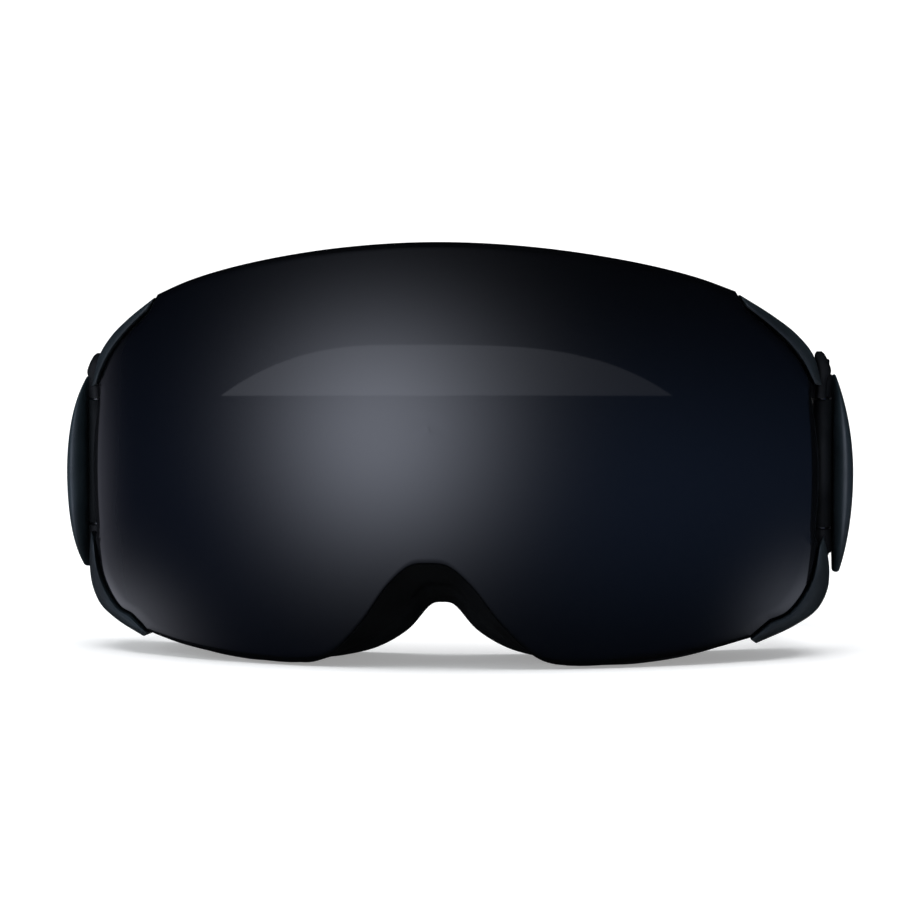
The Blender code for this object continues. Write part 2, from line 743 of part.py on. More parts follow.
def sideways_cylinder(start, end, y, z, radius, sides=12):
    """A cylinder along x."""
    bm = bmesh.new()
    bmesh.ops.create_cone(
        bm, cap_ends=True, segments=sides, radius1=radius, radius2=radius, depth=end - start
    )
    for vert in bm.verts:
        vert.co = Vector((vert.co.z + (start + end) / 2, vert.co.x + y, vert.co.y + z))
    return bm


def screw_shape(y, z):
    """The shank and the head of a screw that goes through the arm and ends inside the cover."""
    face = ARM_INNER + arm_section(z) - 0.35 * MM
    shank = sideways_cylinder(face - 0.5 * MM, COVER_INNER + SCREW_REACH, y, z, SCREW_RADIUS)
    head = sideways_cylinder(face - 1.1 * MM, face, y, z, SCREW_HEAD)
    return shank, head


def make_outrigger(side, parts, materials, parent):
    label = "right" if side > 0 else "left"
    hinge = bpy.data.objects.new(f"outrigger_hinge_{label}", None)
    parts.objects.link(hinge)
    hinge.parent = parent
    hinge.location = (side * PIN_X, PIN_Y, 0)

    def placed(name, bm, home, material=None):
        return add_object(f"{name}_{label}", bm, home, material, hinge, side)

    additions = new_collection(f"arm_{label}_additions")
    cutters = new_collection(f"arm_{label}_cutters")
    cover_cutters = new_collection(f"cover_{label}_cutters")
    shanks = new_collection(f"screw_{label}_additions")

    arm = placed("outrigger_arm", arm_shape(), parts, materials["frame"])
    knuckle = upright_cylinder((0, 0), KNUCKLE_BOTTOM, KNUCKLE_TOP, KNUCKLE_RADIUS)
    placed("knuckle", knuckle, additions)
    neck = block((-1.6 * MM, 0, KNUCKLE_BOTTOM), (1.7 * MM, 7.0 * MM, KNUCKLE_TOP))
    placed("neck", neck, additions)
    bore = upright_cylinder((0, 0), KNUCKLE_BOTTOM - MM, KNUCKLE_TOP + MM, PIN_HOLE)
    placed("bore", bore, cutters)
    half = STRAP_WIDTH / 2 + 1.2 * MM
    window = block((-5 * MM, WINDOW_FRONT, STRAP_Z - half), (5 * MM, WINDOW_BACK, STRAP_Z + half))
    placed("window", window, cutters)

    cover = placed("outrigger_cover", cover_shape(), parts, materials["cover"])
    for number, (y, z) in enumerate(SCREW_SPOTS, 1):
        through = sideways_cylinder(-6 * MM, 6 * MM, y, z, SCREW_HOLE)
        placed(f"arm_hole_{number}", through, cutters)
        blind = sideways_cylinder(-2 * MM, COVER_INNER + SCREW_REACH + GAP, y, z, SCREW_HOLE)
        placed(f"cover_hole_{number}", blind, cover_cutters)
        shank, head = screw_shape(y, z)
        screw = placed(f"cover_screw_{number}", head, parts, materials["steel"])
        boolean(screw, "UNION", placed(f"shank_{number}", shank, shanks))
    boolean(arm, "UNION", additions)
    boolean(arm, "DIFFERENCE", cutters)
    boolean(cover, "DIFFERENCE", cover_cutters)

    pin = upright_cylinder((side * PIN_X, PIN_Y), PIN_BOTTOM, PIN_TOP, PIN_RADIUS)
    add_object(f"hinge_pin_{label}", pin, parts, materials["steel"], parent)


# ---------------------------------------------------------------- strap


def strap_direction():
    """The way the straight part runs, in plan, on the right side."""
    return Vector((-math.sin(STRAP_TURN_IN), math.cos(STRAP_TURN_IN)))


def strap_plan():
    """The middle line of the right half in plan, from the arm's bar to the middle of the back."""
    way = strap_direction()
    end = STRAP_START + way * STRAP_STRAIGHT
    back = Vector((0, FRONT_Y + DEPTH - LAYER_OFFSET - STRAP_THICKNESS / 2))
    straight = [STRAP_START + way * STRAP_STRAIGHT * i / 14 for i in range(14)]
    curve = interpolate_bezier(
        end.to_3d(),
        (end + way * STRAP_HANDLES[0]).to_3d(),
        (back + Vector((STRAP_HANDLES[1], 0))).to_3d(),
        back.to_3d(),
        15,
    )
    return straight + [point.to_2d() for point in curve]


def strap_lengths(plan):
    lengths = [0.0]
    for a, b in zip(plan, plan[1:]):
        lengths.append(lengths[-1] + (b - a).length)
    return lengths


def strap_drop(along, total):
    """How far the strap has sunk at a distance along it: level, then a steady fall, then level again."""
    fall = STRAP_Z - STRAP_WIDTH / 2
    slope = fall / (STRAP_STRAIGHT - STRAP_LEVEL / 2 + (total - STRAP_STRAIGHT) / 2)
    if along < STRAP_LEVEL:
        return slope * max(0.0, along) ** 2 / (2 * STRAP_LEVEL)
    if along < STRAP_STRAIGHT:
        return slope * (along - STRAP_LEVEL / 2)
    left = total - along
    return fall - slope * left**2 / (2 * (total - STRAP_STRAIGHT))


def strap_slope():
    """How steeply the straight part sinks, once it has tipped down."""
    total = strap_lengths(strap_plan())[-1]
    fall = strap_drop(STRAP_STRAIGHT, total) - strap_drop(STRAP_LEVEL, total)
    return fall / (STRAP_STRAIGHT - STRAP_LEVEL)


def strap_stations(start, end):
    """(point, outward direction, drop, distance) along the right half, between two distances."""
    plan = strap_plan()
    lengths = strap_lengths(plan)
    total = lengths[-1]
    end = min(end, total)
    stations = []
    wanted = [d for d in lengths if start + MM < d < end - MM]
    for distance in [start, *wanted, end]:
        i = min(len(plan) - 2, max(0, sum(1 for d in lengths if d <= distance) - 1))
        share = (distance - lengths[i]) / (lengths[i + 1] - lengths[i])
        point = plan[i].lerp(plan[i + 1], share)
        before, after = plan[max(0, i - 1 if share < 0.5 else i)], plan[min(len(plan) - 1, i + 1)]
        way = (after - before).normalized()
        if distance >= total:
            way = Vector((-1, 0))
        elif distance <= STRAP_STRAIGHT:
            way = strap_direction()
        outwards = Vector((way.y, -way.x))
        stations.append((point, outwards, strap_drop(distance, total), distance))
    return stations


def band_rows(stations, offset, low, high, side=1):
    """Rows for a band on the strap: offset outwards from its middle, between two heights."""
    rows = []
    for point, outwards, drop, _ in stations:
        at = point + outwards * offset
        middle = STRAP_Z - drop
        rows.append([(side * at.x, at.y, middle + low), (side * at.x, at.y, middle + high)])
    return rows


def whole_band(start, offset, low, high):
    """Rows from one side, round the back, to the other side."""
    right = band_rows(strap_stations(start, math.inf), offset, low, high)
    left = band_rows(strap_stations(start, math.inf), offset, low, high, side=-1)
    return right + left[-2::-1]


def solid_band(name, rows, thickness, parts, material, parent):
    obj = add_object(name, sheet(rows), parts, material, parent)
    thickened(obj, thickness, offset=0.0)
    return obj


def fold_line():
    """The folded webbing's middle line on the right, in plan: in on the outer side, round the bar and back."""
    way = strap_direction()
    outwards = Vector((way.y, -way.x))
    points = []
    merge = 13 * MM
    for i in range(5, -1, -1):
        share = i / 5
        ease = share * share * (3 - 2 * share)
        spread = FOLD_SPREAD + (LAYER_OFFSET - FOLD_SPREAD) * ease
        points.append((2.0 * MM + merge * share, spread))
    points = [(STRAP_LAP - GAP, LAYER_OFFSET), *points]
    lap = [(-1.0 * MM, FOLD_SPREAD), (-2.2 * MM, 1.9 * MM), (-2.75 * MM, 1.0 * MM)]
    points += lap
    points += [(along, -spread) for along, spread in reversed(points[1:])]
    points += [(along, -LAYER_OFFSET) for along in (STRAP_LEVEL, 45 * MM, STRAP_FOLD_END)]
    return [(STRAP_START + way * along + outwards * spread, max(0.0, along)) for along, spread in points]


def make_strap_fold(side, parts, material, parent):
    label = "right" if side > 0 else "left"
    total = strap_lengths(strap_plan())[-1]
    rows = []
    for point, along in fold_line():
        middle = STRAP_Z - strap_drop(along, total)
        # The sewn end is square to the sinking strap, so its top is farther back.
        sewn = along == STRAP_FOLD_END
        lean = strap_direction() * strap_slope() * STRAP_WIDTH / 2 if sewn else Vector((0, 0))
        low, high = point - lean, point + lean
        rows.append(
            [
                (side * low.x, low.y, middle - STRAP_WIDTH / 2),
                (side * high.x, high.y, middle + STRAP_WIDTH / 2),
            ]
        )
    solid_band(f"strap_fold_{label}", rows, STRAP_THICKNESS, parts, material, parent)


def adjuster_place(side):
    """The adjuster's middle, and its axes: along the strap, outwards, and across the webbing."""
    total = strap_lengths(strap_plan())[-1]
    way = strap_direction()
    along = Vector((way.x, way.y, -strap_slope())).normalized()
    outwards = Vector((way.y, -way.x, 0))
    across = outwards.cross(along)
    if across.z < 0:
        across = -across
    point = STRAP_START + way * ADJUSTER_SPOT
    centre = Vector((point.x, point.y, STRAP_Z - strap_drop(ADJUSTER_SPOT, total)))
    mirrored = Vector((side, 1, 1))
    return tuple(v * mirrored for v in (centre, along, outwards, across))


def make_adjuster(side, parts, materials, parent):
    """A tri-glide: two bars outside the webbing, one inside it, and a rail above and below."""
    label = "right" if side > 0 else "left"
    centre, along, outwards, across = adjuster_place(side)
    outer_low = LAYER_OFFSET + STRAP_THICKNESS / 2 + GAP
    outer_high = outer_low + ADJUSTER_THICKNESS
    inner_high = LAYER_OFFSET - STRAP_THICKNESS / 2 - GAP
    inner_low = inner_high - ADJUSTER_THICKNESS
    half = ADJUSTER_LENGTH / 2
    reach = STRAP_WIDTH / 2 + 0.5 * MM
    whole = reach + ADJUSTER_RAIL

    def placed(low, high):
        bm = block(low, high)
        for vert in bm.verts:
            vert.co = centre + along * vert.co.x + outwards * vert.co.y + across * vert.co.z
        return bm

    additions = new_collection(f"adjuster_{label}_additions")
    body = add_object(
        f"strap_adjuster_{label}",
        placed((-half, inner_low, reach), (half, outer_high, whole)),
        parts,
        materials["trim"],
        parent,
    )
    pieces = {
        "lower_rail": placed((-half, inner_low, -whole), (half, outer_high, -reach)),
        "front_bar": placed((-half, outer_low, -whole), (-half + ADJUSTER_BAR, outer_high, whole - 0.4 * MM)),
        "back_bar": placed((half - ADJUSTER_BAR, outer_low, -whole), (half, outer_high, whole - 0.4 * MM)),
        "middle_bar": placed(
            (-ADJUSTER_BAR / 2, inner_low, -whole), (ADJUSTER_BAR / 2, inner_high, whole - 0.4 * MM)
        ),
    }
    for name, piece in pieces.items():
        add_object(f"{name}_{label}", piece, additions)
    boolean(body, "UNION", additions)


def make_strap(parts, materials, parent):
    half = STRAP_WIDTH / 2
    webbing = whole_band(STRAP_LAP, LAYER_OFFSET, -half, half)
    solid_band("strap_webbing", webbing, STRAP_THICKNESS, parts, materials["strap"], parent)
    inside = LAYER_OFFSET - STRAP_THICKNESS / 2 - GAP - GRIP_THICKNESS / 2
    for number, height in enumerate(GRIP_HEIGHTS, 1):
        rows = whole_band(GRIP_START, inside, height - GRIP_WIDTH / 2, height + GRIP_WIDTH / 2)
        solid_band(f"grip_strip_{number}", rows, GRIP_THICKNESS, parts, materials["silicone"], parent)
    for side in (1, -1):
        make_strap_fold(side, parts, materials["strap"], parent)
        make_adjuster(side, parts, materials, parent)


# ---------------------------------------------------------------- assembly


def main():
    clear_scene()
    parts = new_collection("ski_goggles")
    cutters = new_collection("cutters")
    materials = {
        "frame": new_material("frame_rubber", (0.012, 0.016, 0.022), 0.55),
        "cover": new_material("cover_rubber", (0.016, 0.024, 0.032), 0.5),
        "trim": new_material("trim_plastic", (0.008, 0.008, 0.009), 0.45),
        "lens": new_material("mirror_lens", (0.01, 0.011, 0.014), 0.08, 0.3),
        "inner_lens": new_material("inner_lens", (0.05, 0.05, 0.055), 0.1, 0.0, 0.5),
        "magnet": new_material("magnet_nickel", (0.6, 0.6, 0.58), 0.3, 1.0),
        "steel": new_material("pin_steel", (0.35, 0.35, 0.36), 0.35, 1.0),
        "foam": new_material("face_foam", (0.015, 0.015, 0.016), 0.95),
        "fleece": new_material("face_fleece", (0.02, 0.02, 0.022), 1.0),
        "strap": new_material("strap_elastic", (0.013, 0.014, 0.017), 0.85),
        "silicone": new_material("grip_silicone", (0.03, 0.03, 0.033), 0.4),
    }
    lens_slide = bpy.data.objects.new("lens_slide", None)
    parts.objects.link(lens_slide)
    make_lens(parts, cutters, materials, lens_slide)
    make_frame(parts, materials, None)
    make_foam(parts, materials, None)
    vent_foam("vent_foam_top", -6, 6, parts, materials["foam"], None)
    vent_foam("vent_foam_right", 16, 19, parts, materials["foam"], None)
    vent_foam("vent_foam_left", 33, 36, parts, materials["foam"], None)
    for side in (1, -1):
        make_outrigger(side, parts, materials, None)
    make_strap(parts, materials, None)


main()
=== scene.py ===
"""Ski goggles with a dark magnetic lens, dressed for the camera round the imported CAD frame.

Metres, +Z up. The goggles look along -Y. Every piece takes its place from the same outlines and sizes as
the CAD.
"""

import json
import math

import bmesh
import bpy
from mathutils import Matrix, Vector, noise
from mathutils.geometry import interpolate_bezier

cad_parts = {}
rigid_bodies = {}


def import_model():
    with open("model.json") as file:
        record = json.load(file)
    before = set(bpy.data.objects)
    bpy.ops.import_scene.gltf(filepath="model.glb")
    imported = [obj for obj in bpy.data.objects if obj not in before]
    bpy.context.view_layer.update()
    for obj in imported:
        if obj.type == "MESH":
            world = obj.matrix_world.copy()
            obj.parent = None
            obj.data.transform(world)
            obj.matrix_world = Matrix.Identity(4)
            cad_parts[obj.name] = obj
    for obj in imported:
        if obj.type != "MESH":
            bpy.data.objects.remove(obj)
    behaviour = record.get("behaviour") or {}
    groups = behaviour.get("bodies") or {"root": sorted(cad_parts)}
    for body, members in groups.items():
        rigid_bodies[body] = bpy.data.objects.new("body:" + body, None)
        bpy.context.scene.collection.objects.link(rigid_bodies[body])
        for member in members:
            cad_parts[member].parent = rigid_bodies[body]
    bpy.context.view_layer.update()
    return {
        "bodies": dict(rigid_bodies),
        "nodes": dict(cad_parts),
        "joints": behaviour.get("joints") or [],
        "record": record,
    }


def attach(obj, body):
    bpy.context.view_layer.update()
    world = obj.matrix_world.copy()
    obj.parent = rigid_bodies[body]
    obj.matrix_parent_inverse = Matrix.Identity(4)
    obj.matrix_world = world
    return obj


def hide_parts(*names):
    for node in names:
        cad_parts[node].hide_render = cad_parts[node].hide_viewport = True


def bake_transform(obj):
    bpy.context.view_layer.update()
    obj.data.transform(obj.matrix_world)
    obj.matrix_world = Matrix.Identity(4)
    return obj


MM = 0.001
SIDES = ((1, "right"), (-1, "left"))
ALONG_X, ALONG_Z = Vector((1, 0, 0)), Vector((0, 0, 1))

# ---------------------------------------------------------------- sizes, as in the CAD

DEPTH = 216 * MM
FRONT_Y = -DEPTH / 2
GAP = 0.3 * MM

LENS_RADIUS_X = 110 * MM
LENS_RADIUS_Z = 150 * MM
LENS_MIDDLE_Z = 47.4 * MM
OUTER_PANE = 1.8 * MM
INNER_PANE = 1.0 * MM
SPACER = 2.2 * MM
CARRIER = 3.0 * MM
CARRIER_WIDTH = 3.6 * MM
SPACER_WIDTH = 4.6 * MM
INNER_PANE_INSET = 5.5 * MM
SEAT = OUTER_PANE + CARRIER + 2 * GAP

SEAT_WIDTH = 5.0 * MM
SEAT_THICKNESS = 3.0 * MM
WALL = 2.2 * MM
BACK_FLANGE = 8.5 * MM
BACK_THICKNESS = 2.4 * MM
FACE_RADIUS = 135 * MM
BACK_DEPTH = 29 * MM
# How far the frame's front edge stands outside the rim: (height, distance) in millimetres.
LIP = ((0, 3.2), (8, 2.4), (18, 2.2), (28, 0.1), (62, 0.1), (72, 1.2), (100, 1.2))

FOAM_INSET = 0.8 * MM
# Each layer's name, thickness and width, from the frame to the face.
FOAM_LAYERS = (
    ("foam_base", 5.5 * MM, 8.8 * MM),
    ("foam_comfort", 5.0 * MM, 9.6 * MM),
    ("foam_fleece", 2.2 * MM, 10.2 * MM),
)

MAGNET = (12 * MM, 2.2 * MM, 1.6 * MM)
MAGNET_INSET = 1.8 * MM
# Points near the magnets of one side, (x, z) in millimetres.
MAGNET_SPOTS = ((26, 92), (61, 84), (50, 3))

PIN_X = 87.2 * MM
PIN_Y = FRONT_Y + 50.5 * MM
PIN_RADIUS = 1.2 * MM
PIN_BORE = PIN_RADIUS + 0.15 * MM
PIN_BOTTOM, PIN_TOP = 24 * MM, 66 * MM
KNUCKLE_RADIUS = 2.2 * MM
KNUCKLE_BOTTOM, KNUCKLE_TOP = 30 * MM, 60 * MM
ARM_BOTTOM, ARM_TOP = 22.6 * MM, 69.8 * MM
ARM_LENGTH = 19.9 * MM
ARM_INNER, ARM_OUTER = -0.6 * MM, 2.0 * MM
ARM_BULGE = 140 * MM
ARM_STRAIGHT = 11 * MM
ARM_CLEAR = 5.7 * MM
WINDOW_FRONT, WINDOW_BACK = 12.0 * MM, 17.1 * MM
COVER_INNER = 2.5 * MM
COVER_OUTER = 7.1 * MM
COVER_FRONT, COVER_BACK = -4.5 * MM, 13.6 * MM
COVER_MIDDLE_Z, COVER_HALF = 42.6 * MM, 23.4 * MM
COVER_BULGES = (88 * MM, 68 * MM)
COVER_NARROWING = (6 * MM, 5 * MM)
SCREW_SPOTS = ((9.2 * MM, 34 * MM), (9.2 * MM, 54 * MM))
SCREW_RADIUS, SCREW_HEAD = 1.0 * MM, 1.8 * MM
SCREW_HOLE = SCREW_RADIUS + 0.2 * MM

STRAP_WIDTH = 40 * MM
STRAP_THICKNESS = 1.5 * MM
STRAP_Z = 46 * MM
STRAP_TURN_IN = math.radians(7.5)
STRAP_START = Vector((PIN_X + 0.7 * MM, PIN_Y + 18.5 * MM))
STRAP_STRAIGHT = 98 * MM
STRAP_LEVEL = 30 * MM
STRAP_HANDLES = (42 * MM, 44 * MM)
STRAP_LAP = 27 * MM
STRAP_FOLD_END = 60.3 * MM
FOLD_MERGE = 13 * MM
FOLD_SPREAD = 2.35 * MM
LAYER_OFFSET = 0.9 * MM
ADJUSTER_SPOT = 62 * MM
ADJUSTER_LENGTH = 13 * MM
ADJUSTER_BAR = 2.6 * MM
ADJUSTER_THICKNESS = 1.8 * MM
ADJUSTER_RAIL = 2.2 * MM
GRIP_HEIGHTS = (-12 * MM, 0.0, 12 * MM)
GRIP_WIDTH = 3.0 * MM
GRIP_THICKNESS = 0.6 * MM
GRIP_START = 102 * MM
GRIP_WAVE, GRIP_WAVE_LENGTH = 0.35 * MM, 9 * MM
STITCH_ROWS = (STRAP_LAP + 2.2 * MM, STRAP_LAP + 5.4 * MM)
STITCH_PITCH = 2.6 * MM
STITCH_RADIUS = 0.24 * MM

# Half outlines from the middle of the brow to the middle of the nose, in stretches that meet at corners.
# Each stretch is a smooth line through (x, z) points in millimetres.
LENS_OUTLINE = (
    ((0, 94.9), (22, 93.8), (43.5, 90.8), (58, 87.5), (66.8, 84.5)),
    ((66.8, 84.5), (69.2, 80.5)),
    ((69.2, 80.5), (74.1, 76.7), (78.7, 72.5), (82.0, 68.3), (84.7, 63.4)),
    ((84.7, 63.4), (84.2, 61.0)),
    ((84.2, 61.0), (85.9, 49.0), (86.0, 36.0), (85.3, 28.6)),
    ((85.3, 28.6), (86.1, 26.4)),
    ((86.1, 26.4), (83.9, 17.4), (79.0, 10.9), (74.8, 9.2)),
    ((74.8, 9.2), (70.2, 5.5)),
    ((70.2, 5.5), (59.7, 3.1), (45.5, 1.3), (31, 0.7), (24, 2.2), (16, 9.7), (9, 19.0), (4, 23.2),
     (0, 23.7)),
)
RIM_OUTLINE = (
    ((0, 93.2), (11, 92.9), (22, 92.1), (33, 90.8), (43.5, 89.1), (50.5, 87.6), (57, 85.6), (66, 80.9),
     (74, 75.0), (79.4, 68.8), (82.6, 60.0), (83.9, 50.0), (84.2, 40.0), (83.9, 30.0), (82.8, 21.0),
     (79.6, 14.0), (73.6, 9.6), (65, 6.3), (55, 4.1), (44, 3.0), (33, 2.7), (27, 3.7), (22.2, 6.8),
     (17, 12.3), (10.6, 20.6), (5.4, 24.9), (0, 25.6)),
)
BACK_OUTLINE = (
    ((0, 90.5), (11, 90.2), (22, 89.4), (32.5, 88.1), (42, 86.2), (49, 84.4), (55, 82.2), (64, 77.6),
     (72, 71.8), (78, 65.5), (81.8, 57.5), (83.2, 48.5), (83.5, 39.5), (83.0, 30.5), (81.4, 21.5),
     (77.6, 13.2), (71.5, 7.2), (63, 3.0), (53.5, 1.0), (44, -0.3), (33, -0.3), (27.5, 0.0), (22.7, 0.7),
     (15.0, 2.8), (7.9, 7.0), (2.4, 12.9), (0, 13.3)),
)
# The frame's shoulders fill the lens's cut-outs. Each has the numbers of the lens's stretches that it wraps,
# its outer line, and how far its outer side leans in at the foot, in millimetres.
UPPER_SHOULDER = ((2,), ((67.7, 83.8), (75.3, 79.2), (80.8, 75.1), (84.8, 70.3), (86.9, 63.2)), 1.4)
LOWER_SHOULDER = (
    (6, 7),
    ((87.4, 28.2), (88.4, 24.0), (88.9, 19.6), (88.4, 15.2), (86.0, 10.9), (80.6, 7.5), (71.8, 4.1)),
    0.0,
)
SHOULDER_TONGUE = 1.2 * MM
# The tip of the frame above the hinge, from the bottom up: height, then its sides in x and in y, in
# millimetres.
HORN = (
    (60.3, 85.4, 88.0, -61.6, -56.4),
    (64.0, 85.5, 88.1, -62.0, -56.0),
    (66.6, 85.5, 89.1, -62.0, -55.5),
    (69.0, 85.3, 88.4, -61.7, -55.6),
    (70.6, 85.3, 87.6, -60.8, -56.4),
    (71.3, 85.7, 86.9, -59.8, -57.4),
)

# ---------------------------------------------------------------- outlines


def between(before, start, end, after, count):
    """Points from start up to, and not including, end on a centripetal Catmull-Rom curve."""
    t0 = 0.0
    t1 = t0 + math.sqrt((start - before).length)
    t2 = t1 + math.sqrt((end - start).length)
    t3 = t2 + math.sqrt((after - end).length)
    points = []
    for i in range(count):
        t = t1 + (t2 - t1) * i / count
        a1 = before.lerp(start, (t - t0) / (t1 - t0))
        a2 = start.lerp(end, (t - t1) / (t2 - t1))
        a3 = end.lerp(after, (t - t2) / (t3 - t2))
        b1 = a1.lerp(a2, (t - t0) / (t2 - t0))
        b2 = a2.lerp(a3, (t - t1) / (t3 - t1))
        points.append(b1.lerp(b2, (t - t1) / (t2 - t1)))
    return points


def smooth_line(knots, per_span):
    """Points on a smooth line through knots in millimetres. It crosses x = 0 level, if it ends there."""
    line = [Vector(knot) * MM for knot in knots]
    mirrored = Vector((-1, 1))
    first = line[1] * mirrored if line[0].x == 0 else 2 * line[0] - line[1]
    last = line[-2] * mirrored if line[-1].x == 0 else 2 * line[-1] - line[-2]
    line = [first, *line, last]
    points = []
    for i in range(1, len(line) - 2):
        points += between(*line[i - 1 : i + 3], per_span)
    return [*points, line[-2]]


def outline(stretches, per_span):
    """The whole closed outline, clockwise as seen from the front, from the middle of the brow."""
    half = []
    for stretch in stretches:
        half += smooth_line(stretch, per_span)[:-1]
    half.append(Vector(stretches[-1][-1]) * MM)
    return half + [Vector((-p.x, p.y)) for p in reversed(half[1:-1])]


def inset(points, distance):
    """The outline moved inwards, or outwards where distance is negative. Distance may be one per point."""
    count = len(points)
    each = distance if hasattr(distance, "__len__") else [distance] * count
    moved = []
    for i, point in enumerate(points):
        along = (points[(i + 1) % count] - points[i - 1]).normalized()
        moved.append(point + each[i] * Vector((along.y, -along.x)))
    return moved


def beside(line, distance):
    """An open line moved outwards, where it runs clockwise."""
    moved = []
    for i, point in enumerate(line):
        along = (line[min(i + 1, len(line) - 1)] - line[max(i - 1, 0)]).normalized()
        moved.append(point + distance * Vector((-along.y, along.x)))
    return moved


def resampled(line, count):
    """Points at equal steps along a line of 2D or 3D points."""
    steps = [0.0]
    for a, b in zip(line, line[1:]):
        steps.append(steps[-1] + (b - a).length)
    points = []
    i = 0
    for k in range(count):
        wanted = steps[-1] * k / (count - 1)
        while i < len(line) - 2 and steps[i + 1] < wanted:
            i += 1
        points.append(line[i].lerp(line[i + 1], (wanted - steps[i]) / (steps[i + 1] - steps[i])))
    return points


def eased(share):
    share = min(1.0, max(0.0, share))
    return share * share * (3 - 2 * share)


def lens_y(x, z, behind=0.0):
    """Depth of the lens's front at (x, z), or of a surface behind it by a distance square to it."""
    run_x = math.sqrt(LENS_RADIUS_X**2 - x**2)
    rise = z - LENS_MIDDLE_Z
    run_z = math.sqrt(LENS_RADIUS_Z**2 - rise**2)
    stretch = math.sqrt(1 + (x / run_x) ** 2 + (rise / run_z) ** 2)
    return FRONT_Y + LENS_RADIUS_X - run_x + LENS_RADIUS_Z - run_z + behind * stretch


def back_y(x, behind=0.0):
    """Depth of the frame's back edge, or of a surface behind it."""
    return FRONT_Y + BACK_DEPTH + FACE_RADIUS - math.sqrt(FACE_RADIUS**2 - x**2) + behind


def on_lens(points, behind):
    """An outline's points laid on the lens's front, or on a surface behind it."""
    return [Vector((p.x, lens_y(p.x, p.y, behind), p.y)) for p in points]


def on_back(points, behind):
    """An outline's points laid on the frame's back edge, or on a surface behind it."""
    return [Vector((p.x, back_y(p.x, behind), p.y)) for p in points]


def lip_width(z):
    """How far the frame's front edge stands outside the rim at a height."""
    for (low, here), (high, there) in zip(LIP, LIP[1:]):
        if z <= high * MM:
            return (here + (there - here) * eased((z / MM - low) / (high - low))) * MM
    return LIP[-1][1] * MM


def standing(points):
    """The outline with the lowest part of each cheek cut off flat, for the frame to stand on."""
    return [Vector((point.x, max(0.0, point.y))) for point in points]


def frame_edge(rim):
    """The outline of the frame's front edge."""
    return standing(inset(rim, [-lip_width(point.y) for point in rim]))


# ---------------------------------------------------------------- meshes


def add_object(name, data):
    obj = bpy.data.objects.new(name, data)
    bpy.context.scene.collection.objects.link(obj)
    return obj


def to_mesh(bm, name):
    """A bmesh as a mesh with its faces out."""
    bm.normal_update()
    bmesh.ops.recalc_face_normals(bm, faces=bm.faces)
    mesh = bpy.data.meshes.new(name)
    bm.to_mesh(mesh)
    bm.free()
    return mesh


def shade(mesh, sharp):
    """Smooth shading, with edges sharper than an angle left crisp."""
    mesh.shade_smooth()
    mesh.set_sharp_from_angle(angle=math.radians(sharp))


def finished(bm, name, material, sharp=40.0):
    """A bmesh as a smooth-shaded object with a material."""
    mesh = to_mesh(bm, name)
    shade(mesh, sharp)
    mesh.materials.append(material)
    return add_object(name, mesh)


def skin(bm, loops, across=True):
    """Faces between closed loops of points. across joins the last loop to the first."""
    rows = [[bm.verts.new(point) for point in loop] for loop in loops]
    pairs = list(zip(rows, rows[1:]))
    if across:
        pairs.append((rows[-1], rows[0]))
    for here, there in pairs:
        count = len(here)
        for i in range(count):
            j = (i + 1) % count
            bm.faces.new((here[i], here[j], there[j], there[i]))
    return rows


def cap(bm, row):
    """Closes a loop with a fan round its middle."""
    middle = bm.verts.new(sum((v.co for v in row), Vector()) / len(row))
    for a, b in zip(row, [*row[1:], row[0]]):
        bm.faces.new((a, b, middle))


def tube(bm, loops):
    """A closed body from loops, with a fan at each end."""
    rows = skin(bm, loops, across=False)
    cap(bm, rows[0])
    cap(bm, rows[-1])


def rounded_box(bm, low, high, radius, place=None, steps=3):
    """A box with rounded edges between two corners, put in place by a matrix."""
    low, high = Vector(low), Vector(high)
    before = set(bm.verts)
    corners = bmesh.ops.create_cube(bm, size=1.0)["verts"]
    for vert in corners:
        vert.co = (low + high) / 2 + vert.co * (high - low)
    edges = list({edge for vert in corners for edge in vert.link_edges})
    bmesh.ops.bevel(bm, geom=edges, offset=radius, segments=steps, profile=0.5, affect="EDGES")
    if place is not None:
        for vert in bm.verts:
            if vert not in before:
                vert.co = place @ vert.co


def lathed(bm, profile, base, axis):
    """A round body: (distance along the axis, radius) pairs turned about an axis from base."""
    sides = 32
    side = axis.orthogonal().normalized()
    other = axis.cross(side)
    loops = []
    for along, radius in profile:
        turn = [2 * math.pi * i / sides for i in range(sides)]
        centre = Vector(base) + axis * along
        loops.append([centre + (side * math.cos(a) + other * math.sin(a)) * radius for a in turn])
    tube(bm, loops)


def section(width, height, radius, crown):
    """A rounded rectangle from (0, 0) to (width, height) as points, with sides that swell by crown."""
    steps = 4
    points = []
    corners = ((radius, radius, 180), (width - radius, radius, 270))
    corners += ((width - radius, height - radius, 0), (radius, height - radius, 90))
    for cx, cy, start in corners:
        for i in range(steps + 1):
            angle = math.radians(start + 90 * i / steps)
            points.append((cx + radius * math.cos(angle), cy + radius * math.sin(angle)))
    if not crown:
        return points
    # The long sides get points of their own, which can swell.
    long_side = 1.6 * radius
    filled = []
    for (ax, ay), (bx, by) in zip(points, points[1:] + points[:1]):
        filled.append((ax, ay))
        if math.hypot(bx - ax, by - ay) > long_side:
            filled += [(ax + (bx - ax) * k / 6, ay + (by - ay) * k / 6) for k in range(1, 6)]
    swelled = []
    for x, y in filled:
        u, v = 2 * x / width - 1, 2 * y / height - 1
        swelled.append((x + crown * u * (1 - v * v), y + crown * v * (1 - u * u)))
    return swelled


def ring_body(name, points, start, thickness, width, behind, place, material, radius, crown=0.0):
    """A ring along an outline: start is the inset of its outer side, and behind is its front's depth."""
    bm = bmesh.new()
    loops = [
        place(inset(points, start + u), behind + v)
        for u, v in section(width, thickness, radius, crown)
    ]
    skin(bm, loops)
    return finished(bm, name, material)


